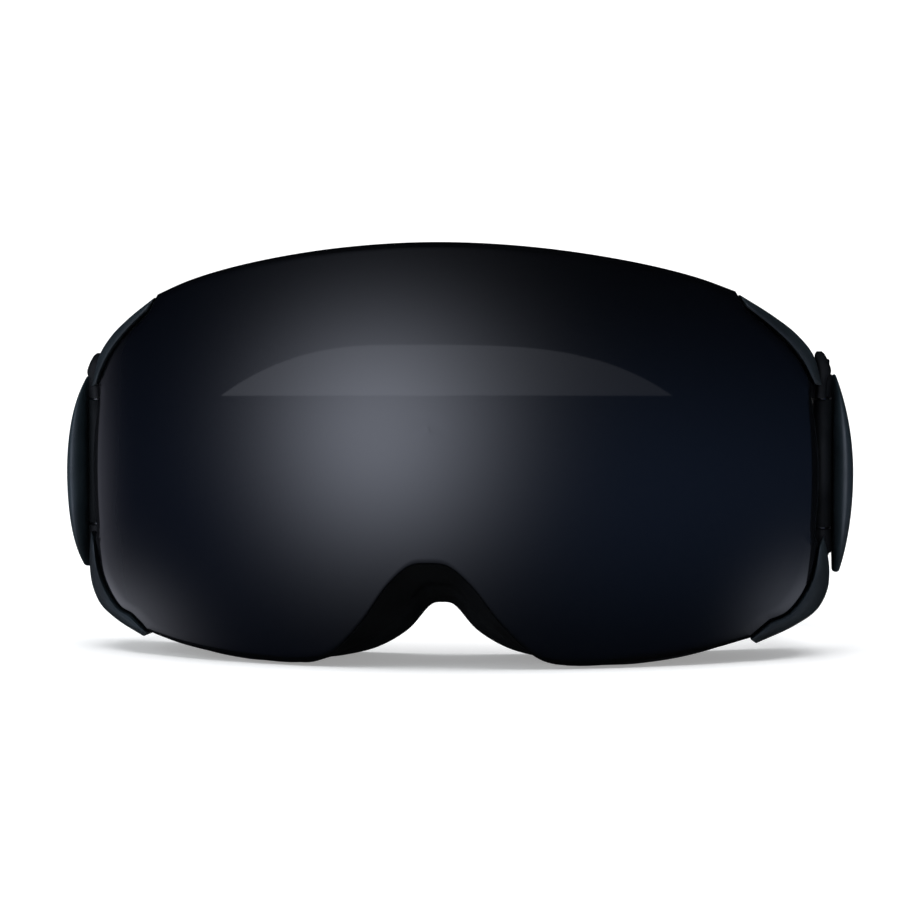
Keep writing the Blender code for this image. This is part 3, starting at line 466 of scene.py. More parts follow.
def apply_modifiers(obj):
    """Turns the object's mesh into what its modifiers make of it."""
    bpy.context.view_layer.update()
    made = bpy.data.meshes.new_from_object(obj.evaluated_get(bpy.context.evaluated_depsgraph_get()))
    old = obj.data
    obj.modifiers.clear()
    obj.data = made
    bpy.data.meshes.remove(old)


def carve(obj, operation, cutter, sharp=45.0):
    """Cuts or joins an object by a bmesh, and shades it smooth again."""
    mesh = to_mesh(cutter, "cutter")
    tool = add_object("cutter", mesh)
    made = obj.modifiers.new("carve", "BOOLEAN")
    made.operation = operation
    made.solver = "EXACT"
    made.object = tool
    apply_modifiers(obj)
    shade(obj.data, sharp)
    bpy.data.objects.remove(tool)
    bpy.data.meshes.remove(mesh)


# ---------------------------------------------------------------- materials


class Finish:
    """A node material in the making: a Principled shader, and short ways to feed it."""

    def __init__(self, name, colour, roughness, **sockets):
        self.material = bpy.data.materials.new(name)
        self.material.use_nodes = True
        self.tree = self.material.node_tree
        self.shader = self.tree.nodes["Principled BSDF"]
        self.shader.inputs["Base Color"].default_value = (*colour, 1.0)
        self.shader.inputs["Roughness"].default_value = roughness
        for socket, value in sockets.items():
            self.shader.inputs[socket.replace("_", " ")].default_value = value
        self.where = self.add("ShaderNodeTexCoord").outputs["Object"]

    def add(self, kind, links=None, values=None, **settings):
        """A new node, with its links and values by socket and its own settings by name."""
        made = self.tree.nodes.new(kind)
        for key, value in settings.items():
            setattr(made, key, value)
        for socket, value in (values or {}).items():
            made.inputs[socket].default_value = value
        for socket, source in (links or {}).items():
            self.tree.links.new(source, made.inputs[socket])
        return made

    def noise(self, scale, detail=3.0, roughness=0.5, where=None):
        values = {"Scale": scale, "Detail": detail, "Roughness": roughness}
        return self.add("ShaderNodeTexNoise", {"Vector": where or self.where}, values).outputs["Fac"]

    def cells(self, scale):
        """Distance to the middle of the nearest cell."""
        made = self.add("ShaderNodeTexVoronoi", {"Vector": self.where}, {"Scale": scale})
        return made.outputs["Distance"]

    def span(self, source, low, high, out_low=0.0, out_high=1.0):
        """The source's range from low to high stretched to another range."""
        values = {"From Min": low, "From Max": high, "To Min": out_low, "To Max": out_high}
        return self.add("ShaderNodeMapRange", {"Value": source}, values).outputs["Result"]

    def maths(self, operation, a, b=0.0):
        made = self.add("ShaderNodeMath", operation=operation)
        for socket, source in ((0, a), (1, b)):
            if isinstance(source, (int, float)):
                made.inputs[socket].default_value = source
            else:
                self.tree.links.new(source, made.inputs[socket])
        return made.outputs[0]

    def mixed(self, share, first, second):
        """Colours mixed by a share; each is a colour or another node's output."""
        made = self.add("ShaderNodeMix", {"Factor": share}, data_type="RGBA")
        for socket, source in ((6, first), (7, second)):
            if isinstance(source, tuple):
                made.inputs[socket].default_value = (*source, 1.0) if len(source) == 3 else source
            else:
                self.tree.links.new(source, made.inputs[socket])
        return made.outputs[2]

    def paint(self, source):
        self.tree.links.new(source, self.shader.inputs["Base Color"])

    def gloss(self, source, low, high):
        """Roughness from low to high as the source goes from 0.3 to 0.7."""
        self.tree.links.new(self.span(source, 0.3, 0.7, low, high), self.shader.inputs["Roughness"])

    def bump(self, *layers):
        """Bump from (height, metres) pairs, one on another."""
        normal = None
        for height, metres in layers:
            links = {"Height": height}
            if normal is not None:
                links["Normal"] = normal
            values = {"Strength": 1.0, "Distance": metres}
            normal = self.add("ShaderNodeBump", links, values).outputs["Normal"]
        self.tree.links.new(normal, self.shader.inputs["Normal"])

    def worn(self, plain, rubbed, amount):
        """The plain colour, with edges rubbed to another colour where a coarse noise allows."""
        edge = self.span(self.add("ShaderNodeNewGeometry").outputs["Pointiness"], 0.53, 0.62)
        patch = self.span(self.noise(90, 4.0), 0.42, 0.62)
        share = self.maths("MULTIPLY", self.maths("MULTIPLY", edge, patch), amount)
        return self.mixed(share, plain, rubbed)


def moulded(name, colour, rubbed, roughness, grain_scale, grain_depth, shine):
    """Moulded rubber or plastic with a fine eroded grain, soft mottling and rubbed edges."""
    made = Finish(name, colour, roughness, Specular_IOR_Level=shine)
    light = tuple(c * 1.35 for c in colour)
    dark = tuple(c * 0.8 for c in colour)
    mottle = made.mixed(made.span(made.noise(70, 5.0), 0.35, 0.65), dark, light)
    made.paint(made.worn(mottle, rubbed, 0.5))
    made.gloss(made.noise(160, 4.0), roughness - 0.05, roughness + 0.07)
    fine = made.noise(grain_scale, 2.0, 0.6)
    coarse = made.cells(grain_scale * 0.45)
    made.bump((coarse, grain_depth * MM), (fine, grain_depth * MM * 0.6))
    return made.material


def foam_finish(name, colour, cell, depth, sheen):
    """Open-cell foam: round cells with pits between soft walls, the pits painted dark as shade."""
    made = Finish(name, colour, 0.95, Sheen_Weight=sheen, Sheen_Roughness=0.6, Specular_IOR_Level=0.15)
    cells = made.cells(1 / cell)
    small = made.cells(1.9 / cell)
    pits = made.maths("MULTIPLY", made.span(cells, 0.1, 0.75), made.span(small, 0.05, 0.7))
    dark = tuple(c * 0.35 for c in colour)
    light = tuple(c * 1.5 for c in colour)
    # Painted shade: the colour darkens in the pits, where the bump sinks.
    made.paint(made.mixed(pits, dark, made.mixed(made.noise(60, 3.0), colour, light)))
    made.bump((pits, depth), (made.noise(600, 3.0), depth * 0.4))
    return made.material


def fleece_finish():
    """Brushed microfleece: short fibres in small tufts."""
    colour = (0.012, 0.0125, 0.014)
    made = Finish("fleece", colour, 0.98, Sheen_Weight=0.35, Sheen_Roughness=0.45, Specular_IOR_Level=0.1)
    stretched = made.add("ShaderNodeMapping", {"Vector": made.where}, {"Scale": (1.0, 1.0, 1.6)}).outputs[0]
    tufts = made.noise(900, 4.0, 0.7, stretched)
    fibres = made.noise(4200, 3.0, 0.7, stretched)
    light = (0.034, 0.035, 0.038)
    shade = made.maths("MULTIPLY", made.span(tufts, 0.35, 0.7), made.span(fibres, 0.25, 0.75))
    made.paint(made.mixed(shade, (0.006, 0.0062, 0.007), light))
    made.bump((tufts, 0.25 * MM), (fibres, 0.12 * MM))
    return made.material


def webbing_finish():
    """Knitted elastic: ribs across the strap, each crossed by fine stitches, and a smooth woven edge."""
    colour = (0.010, 0.0105, 0.0125)
    made = Finish("webbing", colour, 0.8, Sheen_Weight=0.25, Sheen_Roughness=0.5, Specular_IOR_Level=0.3)
    uv = made.add("ShaderNodeUVMap", uv_map="strap").outputs["UV"]
    axes = made.add("ShaderNodeSeparateXYZ", {"Vector": uv})
    along, across = axes.outputs["X"], axes.outputs["Y"]

    def ridge(source, pitch, shift=0.0):
        turns = made.maths("MULTIPLY", source, 2 * math.pi / pitch)
        wave = made.maths("SINE", made.maths("ADD", turns, shift))
        return made.span(wave, -1.0, 1.0)

    across_turns = made.maths("FLOOR", made.maths("DIVIDE", across, 1.3 * MM))
    stagger = made.maths("MULTIPLY", across_turns, math.pi)
    ribs = ridge(across, 1.3 * MM)
    stitches = ridge(along, 1.5 * MM, stagger)
    strands = made.maths("MULTIPLY", made.maths("POWER", ribs, 0.5), made.maths("POWER", stitches, 0.6))
    fuzz = made.noise(2600, 3.0, 0.65)
    light = (0.036, 0.038, 0.044)
    share = made.maths("MULTIPLY", strands, made.span(fuzz, 0.2, 0.8, 0.45, 1.0))
    # Painted shade: the colour follows the bump, dark in the grooves between ribs and stitches and lighter
    # on their tops.
    made.paint(made.mixed(share, (0.0045, 0.0047, 0.0055), light))
    made.bump((strands, 0.22 * MM), (fuzz, 0.05 * MM))
    return made.material


def metal_finish(name, colour, roughness):
    """Plated metal with fine tumbling marks."""
    made = Finish(name, colour, roughness, Metallic=1.0)
    marks = made.noise(700, 5.0, 0.7)
    made.paint(made.mixed(made.span(marks, 0.35, 0.7), tuple(c * 0.75 for c in colour), colour))
    made.gloss(made.noise(1500, 3.0), roughness - 0.08, roughness + 0.14)
    made.bump((marks, 0.008 * MM))
    return made.material


def lens_finish():
    """A dark mirror coating on polycarbonate: a black body, softly lit, under a hard gloss coat."""
    made = Finish(
        "mirror_coating",
        (0.0008, 0.0010, 0.0015),
        0.3,
        Specular_IOR_Level=0.08,
        Coat_Weight=1.0,
        Coat_Roughness=0.03,
        Coat_IOR=1.45,
    )
    film = made.noise(14, 2.0)
    made.paint(made.mixed(made.span(film, 0.3, 0.7), (0.0006, 0.0008, 0.0013), (0.0010, 0.0012, 0.0017)))
    made.gloss(made.noise(45, 4.0), 0.28, 0.34)
    return made.material


def inner_lens_finish():
    """Clear cellulose pane with a faint smoke tint and an anti-fog film."""
    made = Finish("clear_pane", (0.55, 0.55, 0.57), 0.05, Transmission_Weight=1.0, IOR=1.48)
    made.gloss(made.noise(120, 4.0), 0.03, 0.08)
    return made.material


def silicone_finish():
    """Printed silicone: satin, a little cloudy, with a soft ripple."""
    made = Finish("silicone", (0.018, 0.019, 0.021), 0.3, Coat_Weight=0.4, Coat_Roughness=0.25)
    cloud = made.noise(400, 3.0)
    made.paint(made.mixed(cloud, (0.012, 0.0125, 0.014), (0.03, 0.031, 0.034)))
    made.gloss(made.noise(900, 2.0), 0.26, 0.4)
    made.bump((made.noise(500, 2.0), 0.05 * MM))
    return made.material


def thread_finish():
    """Bonded sewing thread: twisted plies."""
    made = Finish("thread", (0.03, 0.031, 0.035), 0.6, Sheen_Weight=0.3)
    twist = made.add("ShaderNodeTexWave", {"Vector": made.where}, {"Scale": 900.0, "Distortion": 1.0})
    # Painted shade: the colour darkens in the grooves between the plies, where the bump sinks.
    made.paint(made.mixed(twist.outputs["Fac"], (0.014, 0.0145, 0.017), (0.05, 0.052, 0.058)))
    made.bump((twist.outputs["Fac"], 0.05 * MM))
    return made.material


# Use, material's name, colour, colour of rubbed edges, roughness, the grain's scale and its depth in
# millimetres, and specular level.
MOULDINGS = (
    ("frame", "soft_touch_frame", (0.0085, 0.0135, 0.0175), (0.03, 0.04, 0.048), 0.5, 5200, 0.018, 0.45),
    ("cover", "soft_touch_cover", (0.0095, 0.0165, 0.0215), (0.03, 0.045, 0.055), 0.46, 5200, 0.016, 0.45),
    # wall: the frame's own soft-touch rubber made darker and duller, as painted shade on the frame's body
    # and horns.
    ("wall", "frame_wall", (0.003, 0.0036, 0.0042), (0.014, 0.016, 0.018), 0.6, 5200, 0.018, 0.2),
    ("arm", "eroded_nylon", (0.002, 0.0028, 0.0034), (0.012, 0.015, 0.018), 0.6, 3600, 0.03, 0.2),
    ("trim", "black_nylon", (0.002, 0.0023, 0.0028), (0.012, 0.013, 0.015), 0.6, 3600, 0.03, 0.2),
)


def make_finishes():
    return {
        **{use: moulded(*values) for use, *values in MOULDINGS},
        "lens": lens_finish(),
        "inner_lens": inner_lens_finish(),
        "magnet": metal_finish("nickel", (0.58, 0.57, 0.54), 0.3),
        "steel": metal_finish("stainless", (0.5, 0.5, 0.51), 0.32),
        "foam_base": foam_finish("firm_foam", (0.012, 0.012, 0.013), 0.55 * MM, 0.12 * MM, 0.1),
        "foam_soft": foam_finish("soft_foam", (0.022, 0.0225, 0.024), 0.8 * MM, 0.2 * MM, 0.15),
        "vent_foam": foam_finish("open_foam", (0.02, 0.02, 0.021), 1.1 * MM, 0.4 * MM, 0.1),
        "fleece": fleece_finish(),
        "webbing": webbing_finish(),
        "silicone": silicone_finish(),
        "thread": thread_finish(),
    }


# ---------------------------------------------------------------- lens


def add_piece(obj, body, slot, *nodes):
    """Puts a piece on its CAD body, in place of CAD nodes."""
    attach(obj, body)
    if nodes:
        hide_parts(*nodes)
    return obj


def pane(name, points, behind, thickness, radius, material, rings):
    """A pane of the lens: rings out from its middle, a rounded edge, and rings back in behind."""
    centre = Vector((0, 55 * MM))
    edge = inset(points, radius)

    def rings_to(depth):
        shares = [i / rings for i in range(1, rings)]
        return [on_lens([centre + (p - centre) * s for p in edge], depth) for s in shares]

    bend = [math.radians(90 * i / 4) for i in range(5)]
    front = [(radius * (1 - math.sin(a)), radius * (1 - math.cos(a))) for a in bend]
    back = [(u, thickness - v) for u, v in reversed(front)]
    loops = rings_to(behind)
    loops += [on_lens(inset(points, u), behind + v) for u, v in front + back]
    loops += rings_to(behind + thickness)[::-1]
    bm = bmesh.new()
    tube(bm, loops)
    return finished(bm, name, material, 60)


def magnet_matrices(behind):
    """Each magnet's place: x along the rim, y across it and z back, from the middle of its front."""
    rim = outline(RIM_OUTLINE, 4)
    line = inset(rim, MAGNET_INSET)
    places = []
    for x, z in MAGNET_SPOTS:
        for side, _ in SIDES:
            spot = Vector((side * x, z)) * MM
            i = min(range(len(line)), key=lambda k: (line[k] - spot).length)
            point = line[i]
            along = (line[(i + 1) % len(line)] - line[i - 1]).normalized()
            across = Vector((along.y, -along.x))
            tips = on_lens([point - along * MM, point + along * MM, point, point + across * MM], behind)
            x_axis = (tips[1] - tips[0]).normalized()
            back = x_axis.cross(tips[3] - tips[2]).normalized()
            if back.y < 0:
                back = -back
            y_axis = back.cross(x_axis)
            turn = Matrix((x_axis, y_axis, back)).transposed().to_4x4()
            places.append(Matrix.Translation(tips[2]) @ turn)
    return places


def make_magnets(name, behind, body, material):
    """A row of bar magnets along the rim, with their fronts at a depth behind the lens's front."""
    length, width, thick = MAGNET
    for number, place in enumerate(magnet_matrices(behind), 1):
        bm = bmesh.new()
        rounded_box(bm, (-length / 2, -width / 2, 0), (length / 2, width / 2, thick), 0.25 * MM, place)
        obj = finished(bm, f"{name}_{number}_plated", material, 50)
        add_piece(obj, body, "magnet", f"{name}_{number}")


def magnet_pockets(behind):
    """The hollows that the magnets lie in, to cut from what holds them."""
    length, width, thick = (size + 2 * GAP for size in MAGNET)
    bm = bmesh.new()
    for place in magnet_matrices(behind - GAP):
        rounded_box(bm, (-length / 2, -width / 2, 0), (length / 2, width / 2, thick), 0.2 * MM, place, 1)
    return bm


def make_lens(finish):
    fine = outline(LENS_OUTLINE, 8)
    lens = pane("outer_lens_mirror", fine, 0.0, OUTER_PANE, 0.45 * MM, finish["lens"], 30)
    add_piece(lens, "lens", "mirror_lens", "outer_lens")
    rim = outline(RIM_OUTLINE, 6)
    front = OUTER_PANE + GAP
    look = finish["trim"]
    carrier = ring_body(
        "lens_carrier_ring", rim, 0.0, CARRIER, CARRIER_WIDTH, front, on_lens, look, 0.4 * MM
    )
    magnet_front = front + CARRIER - MAGNET[2]
    carve(carrier, "DIFFERENCE", magnet_pockets(magnet_front))
    add_piece(carrier, "lens", "trim", "lens_carrier")
    make_magnets("lens_magnet", magnet_front - GAP / 2, "lens", finish["magnet"])
    look = finish["foam_base"]
    start = CARRIER_WIDTH + 0.6 * MM
    spacer = ring_body(
        "lens_spacer_foam", rim, start, SPACER, SPACER_WIDTH, front, on_lens, look, 0.5 * MM
    )
    add_piece(spacer, "lens", "foam", "lens_spacer")
    edge = inset(rim, INNER_PANE_INSET)
    behind = front + SPACER + GAP
    inner = pane("inner_lens_pane", edge, behind, INNER_PANE, 0.3 * MM, finish["inner_lens"], 14)
    add_piece(inner, "lens", "inner_lens", "inner_lens")


# ---------------------------------------------------------------- frame

# Where the vents are, (x, z) in millimetres, and each one's width and height.
TOP_VENTS = ((0, 92), (20, 91), (-20, 91), (39, 88), (-39, 88), (55, 84), (-55, 84))
TOP_VENT = (13 * MM, 6.5 * MM)
BOTTOM_VENTS = ((53, 2), (-53, 2), (69, 5), (-69, 5))
BOTTOM_VENT = (12 * MM, 5 * MM)
# The frame's wall in section, from front to back: (share of its depth, swell in millimetres). The shallow
# groove is where the soft outer shot of the moulding ends.
WALL_RELIEF = (
    (0.0, 0.0), (0.12, 0.05), (0.3, 0.10), (0.52, 0.12), (0.60, 0.10),
    (0.63, -0.25), (0.68, -0.25), (0.71, 0.08), (0.85, 0.05), (1.0, 0.0),
)


def add_vent(bm, x, z, width, height):
    """A rounded slot through the frame's wall, centred between the seat and the back edge."""
    seat = lens_y(x, z, SEAT + SEAT_THICKNESS)
    middle = seat + (back_y(x) - BACK_THICKNESS - seat) * 0.5
    low = (x - width / 2, middle - height / 2, z - 7 * MM)
    high = (x + width / 2, middle + height / 2, z + 7 * MM)
    rounded_box(bm, low, high, 1.6 * MM, steps=4)


def frame_wall(share, swell, edge, back):
    """A loop round the frame's outer wall, part of the way from its front edge to its back edge."""
    start = on_lens(edge, SEAT + 0.7 * MM)
    end = on_back(back, -0.6 * MM)
    out = inset(edge, -1.0)
    loop = []
    for i, (a, b) in enumerate(zip(start, end)):
        away = (out[i] - edge[i]).normalized()
        point = a.lerp(b, share) + Vector((away.x, 0, away.y)) * swell
        point.z = max(point.z, 0.0)
        loop.append(point)
    return loop


def make_frame(finish):
    rim = outline(RIM_OUTLINE, 6)
    back = standing(outline(BACK_OUTLINE, 6))
    edge = frame_edge(rim)
    seat_hole = inset(rim, SEAT_WIDTH)
    seat_back = SEAT + SEAT_THICKNESS
    loops = [
        on_lens(inset(edge, 0.9 * MM), SEAT),
        on_lens(inset(edge, 0.3 * MM), SEAT + 0.12 * MM),
        *(frame_wall(share, swell * MM, edge, back) for share, swell in WALL_RELIEF),
        on_back(inset(back, 0.2 * MM), -0.2 * MM),
        on_back(inset(back, 0.8 * MM), 0.0),
        on_back(inset(back, BACK_FLANGE - 0.6 * MM), 0.0),
        on_back(inset(back, BACK_FLANGE - 0.1 * MM), -0.4 * MM),
        on_back(inset(back, BACK_FLANGE), -1.2 * MM),
        on_back(inset(back, BACK_FLANGE - 0.1 * MM), -BACK_THICKNESS + 0.4 * MM),
        on_back(inset(back, BACK_FLANGE - 0.6 * MM), -BACK_THICKNESS),
        on_back(inset(back, WALL + 0.8 * MM), -BACK_THICKNESS),
        on_back(inset(back, WALL + 0.1 * MM), -BACK_THICKNESS - 0.7 * MM),
        on_lens(inset(edge, WALL), seat_back + 0.7 * MM),
        on_lens(inset(edge, WALL + 0.8 * MM), seat_back),
        on_lens(inset(rim, SEAT_WIDTH - 0.5 * MM), seat_back),
        on_lens(seat_hole, seat_back - 0.5 * MM),
        on_lens(seat_hole, SEAT + 0.5 * MM),
        on_lens(inset(rim, SEAT_WIDTH - 0.5 * MM), SEAT),
    ]
    bm = bmesh.new()
    skin(bm, loops)
    # The body takes the darker wall finish: painted shade on the same rubber as the shoulders.
    frame = finished(bm, "frame_body", finish["wall"])
    cutter = magnet_pockets(SEAT)
    for spots, size in ((TOP_VENTS, TOP_VENT), (BOTTOM_VENTS, BOTTOM_VENT)):
        for x, z in spots:
            add_vent(cutter, x * MM, z * MM, *size)
    carve(frame, "DIFFERENCE", cutter, 32)
    add_piece(frame, "frame", "frame_rubber", "face_frame")
    make_magnets("frame_magnet", SEAT + GAP / 2, "frame", finish["magnet"])


def on_side(point, depth, side):
    """A point behind the lens's front, on the right or mirrored to the left."""
    return Vector((side * point.x, lens_y(point.x, point.y, depth), point.y))


def make_shoulder(name, shape, side, finish, tongue=0.0):
    """A raised strip of the frame that wraps one corner of the lens, thinner towards its ends.

    A tongue of some length on its first end lies behind the lens, so that no light shows between the two.
    """
    stretches, outer_line, taper = shape
    edge = []
    for number in stretches:
        edge += smooth_line(LENS_OUTLINE[number], 12)[:-1]
    edge.append(Vector(LENS_OUTLINE[stretches[-1]][-1]) * MM)
    inner = beside(edge, GAP + 0.1 * MM)
    outer = resampled(smooth_line(outer_line, 12), len(inner))
    crown, foot, root = 1.0 * MM, SEAT + 1.2 * MM, 4.0 * MM
    loops = []
    for i, (a, b) in enumerate(zip(inner, outer)):
        across = (b - a).normalized()
        inside = a - across * root
        outer_foot = b - across * taper * MM
        ends = min(i, len(inner) - 1 - i) / (len(inner) - 1)
        rise = crown * math.sqrt(min(1.0, ends * 9))
        profile = [(a, 1.0 * MM), (a.lerp(b, 0.03), 0.35 * MM - rise * 0.5)]
        for k in range(7):
            share = 0.1 + 0.84 * k / 6
            profile.append((a.lerp(b, share), 0.1 * MM - rise * (1 - (2 * share - 0.7) ** 2 * 0.75)))
        profile += [
            (b, 0.9 * MM),
            (b.lerp(outer_foot, 0.15), 1.8 * MM),
            (outer_foot, foot),
            (inside, SEAT + SEAT_THICKNESS - GAP),
            (inside, SEAT + GAP),
            (a, SEAT + GAP),
        ]
        if i == 0 and tongue:
            near = a.lerp(inside, 0.1)
            shallowest = OUTER_PANE + 0.5 * MM
            hidden = [(near if p is inside else p, max(depth, shallowest)) for p, depth in profile]
            away = Vector((-across.y, across.x)) * tongue
            loops.append([on_side(p + away, depth, side) for p, depth in hidden])
            loops.append([on_side(p, depth, side) for p, depth in hidden])
        loops.append([on_side(p, depth, side) for p, depth in profile])
    bm = bmesh.new()
    tube(bm, loops)
    return add_piece(finished(bm, name, finish, 50), "frame", "frame_rubber")


def pin_bore(side):
    bm = bmesh.new()
    profile = ((0, PIN_BORE), (PIN_TOP - PIN_BOTTOM + 2 * MM, PIN_BORE))
    lathed(bm, profile, (side * PIN_X, PIN_Y, PIN_BOTTOM - MM), ALONG_Z)
    return bm


def make_lugs(side, label, finish):
    """The two eyes of the frame that hold the hinge pin."""
    soft = 0.4 * MM
    lugs = (("lower", PIN_BOTTOM, KNUCKLE_BOTTOM - GAP), ("upper", KNUCKLE_TOP + GAP, PIN_TOP))
    for level, low, high in lugs:
        tall = high - low
        profile = (
            (0, KNUCKLE_RADIUS - soft),
            (soft * 0.3, KNUCKLE_RADIUS - soft * 0.3),
            (soft, KNUCKLE_RADIUS),
            (tall - soft, KNUCKLE_RADIUS),
            (tall - soft * 0.3, KNUCKLE_RADIUS - soft * 0.3),
            (tall, KNUCKLE_RADIUS - soft),
        )
        bm = bmesh.new()
        lathed(bm, profile, (side * PIN_X, PIN_Y, low), ALONG_Z)
        lug = finished(bm, f"hinge_lug_{level}_{label}", finish, 45)
        web = bmesh.new()
        near, far = sorted((side * (PIN_X - 5.5 * MM), side * (PIN_X - 0.4 * MM)))
        lower, upper = low + 0.05 * MM, high - 0.05 * MM
        rounded_box(web, (near, PIN_Y - 1.9 * MM, lower), (far, PIN_Y + 1.9 * MM, upper), 0.5 * MM)
        carve(lug, "UNION", web)
        carve(lug, "DIFFERENCE", pin_bore(side))
        add_piece(lug, "frame", "frame_rubber")


def make_horn(side, label, finish):
    """The upright tip of the frame above the hinge, rounded like a leaf."""
    values = []
    for column in range(5):
        line = [Vector((i, row[column])) for i, row in enumerate(HORN)]
        smooth = []
        for k in range(len(line) - 1):
            before = line[k - 1] if k else 2 * line[0] - line[1]
            after = line[k + 2] if k + 2 < len(line) else 2 * line[-1] - line[-2]
            smooth += [point.y for point in between(before, line[k], line[k + 1], after, 6)]
        values.append([*smooth, line[-1].y])
    loops = []
    for z, low_x, high_x, low_y, high_y in zip(*values):
        wide, deep = (high_x - low_x) / 2, (high_y - low_y) / 2
        loop = []
        for k in range(28):
            angle = 2 * math.pi * k / 28
            u, v = math.cos(angle), math.sin(angle)
            u, v = math.copysign(abs(u) ** 0.6, u), math.copysign(abs(v) ** 0.6, v)
            loop.append(Vector((side * (low_x + wide + wide * u), low_y + deep + deep * v, z)) * MM)
        loops.append(loop)
    bm = bmesh.new()
    tube(bm, loops)
    obj = finished(bm, f"frame_horn_{label}", finish, 60)
    carve(obj, "DIFFERENCE", pin_bore(side), 60)
    add_piece(obj, "frame", "frame_rubber")


def make_pin(side, label, finish):
    tall = PIN_TOP - PIN_BOTTOM
    dome = 0.35 * MM
    profile = (
        (-0.1 * MM, 0.5 * MM),
        (0.1 * MM, PIN_RADIUS - dome * 0.6),
        (dome + 0.1 * MM, PIN_RADIUS),
        (tall - dome - 0.1 * MM, PIN_RADIUS),
        (tall - 0.1 * MM, PIN_RADIUS - dome * 0.6),
        (tall + 0.1 * MM, 0.5 * MM),
    )
    bm = bmesh.new()
    lathed(bm, profile, (side * PIN_X, PIN_Y, PIN_BOTTOM), ALONG_Z)
    add_piece(finished(bm, f"hinge_pin_{label}_turned", finish), "frame", "steel", f"hinge_pin_{label}")


# ---------------------------------------------------------------- foam

FOAM_CROWN = 0.12 * MM
FOAM_WANDER, FOAM_WANDER_SIZE = 0.35 * MM, 9 * MM
# Each vent foam's place, and the knots of the rim that it starts and ends at.
VENT_FOAMS = (("top", -6, 6), ("right", 16, 19), ("left", 33, 36))
VENT_FOAM_THICKNESS = 1.6 * MM


def make_uneven(obj):
    """Moves the foam's sides in and out by smooth noise, as cut foam never lies dead straight."""
    mesh = obj.data
    normals = [vert.normal.copy() for vert in mesh.vertices]
    for vert, normal in zip(mesh.vertices, normals):
        sideways = Vector((normal.x, 0, normal.z))
        vert.co += sideways * FOAM_WANDER * noise.noise(vert.co / FOAM_WANDER_SIZE)
        vert.co.z = max(vert.co.z, 0.0)
    mesh.update()


def make_foam(finish):
    back = standing(outline(BACK_OUTLINE, 6))
    looks = {"foam_base": "foam_base", "foam_comfort": "foam_soft", "foam_fleece": "fleece"}
    start = GAP
    for name, thickness, width in FOAM_LAYERS:
        radius = min(thickness * 0.42, 1.6 * MM)
        size = (FOAM_INSET, thickness, width, start)
        look = finish[looks[name]]
        obj = ring_body(f"{name}_pad", back, *size, on_back, look, radius, FOAM_CROWN)
        make_uneven(obj)
        add_piece(obj, "frame", "fleece" if name == "foam_fleece" else "foam", name)
        start += thickness + GAP


def make_vent_foam(name, first, last, finish):
    """Open-cell foam on the inside of the frame's wall, over a row of vents."""
    per_span = 6
    rim = outline(RIM_OUTLINE, per_span)
    back = standing(outline(BACK_OUTLINE, per_span))
    edge = frame_edge(rim)
    count = len(rim)
    stations = [i % count for i in range(first * per_span, last * per_span + 1)]
    # The strip in section: (share of the way back across the wall, share of its thickness).
    across = [(0.0, 0.1), (0.0, 0.5), (0.0, 0.9), (0.03, 1.0)]
    across += [(share, 1.0) for share in (0.1, 0.25, 0.4, 0.55, 0.7, 0.85, 0.97)]
    across += [(1.0, 0.9), (1.0, 0.1), (0.97, 0.0), (0.75, 0.0), (0.5, 0.0), (0.25, 0.0), (0.03, 0.0)]
    loops = []
    for share, layer in across:
        clear = WALL + 0.5 * MM + layer * VENT_FOAM_THICKNESS
        seat_side = on_lens(inset(edge, clear), SEAT + SEAT_THICKNESS + 0.8 * MM)
        face_side = on_back(inset(back, clear), -BACK_THICKNESS - 0.8 * MM)
        loops.append([seat_side[i].lerp(face_side[i], share) for i in stations])
    bm = bmesh.new()
    tube(bm, [list(station) for station in zip(*loops)])
    obj = finished(bm, f"{name}_mesh", finish)
    add_piece(obj, "frame", "foam", name)


# ---------------------------------------------------------------- outriggers

GROOVE_DEPTH, GROOVE_WIDTH = 0.28 * MM, 0.45 * MM


def arm_lean(y, z):
    """How far the arm leans in, to follow the side of the head."""
    share = 1 - (y - ARM_CLEAR) / (ARM_STRAIGHT - ARM_CLEAR)
    return -((z - STRAP_Z) ** 2) / (2 * ARM_BULGE) * max(0.0, share)


def rounded_loop(low, high, corner):
    """A rounded rectangle in (y, z), with points along its sides too, all at equal counts per side."""
    steps = 6
    points = []
    corners = ((high[0], high[1], 0), (low[0], high[1], 90), (low[0], low[1], 180), (high[0], low[1], 270))
    signs = ((-1, -1), (1, -1), (1, 1), (-1, 1))
    for (y, z, start), (sy, sz) in zip(corners, signs):
        for i in range(steps + 1):
            angle = math.radians(start + 90 * i / steps)
            at = (y + sy * corner + corner * math.cos(angle), z + sz * corner + corner * math.sin(angle))
            points.append(Vector(at))
    filled = []
    for a, b in zip(points, points[1:] + points[:1]):
        filled.append(a)
        if (b - a).length > corner * 0.5:
            filled += [a.lerp(b, k / 10) for k in range(1, 10)]
    return filled


def towards(points, others, distance):
    """Each point moved by a distance towards its partner."""
    return [a + (b - a).normalized() * distance for a, b in zip(points, others)]


def place_outrigger(bm, side):
    """Moves a mesh made round the pin's axis, with x outwards, to its place on one side."""
    for vert in bm.verts:
        vert.co = Vector((side * (PIN_X + vert.co.x), PIN_Y + vert.co.y, vert.co.z))


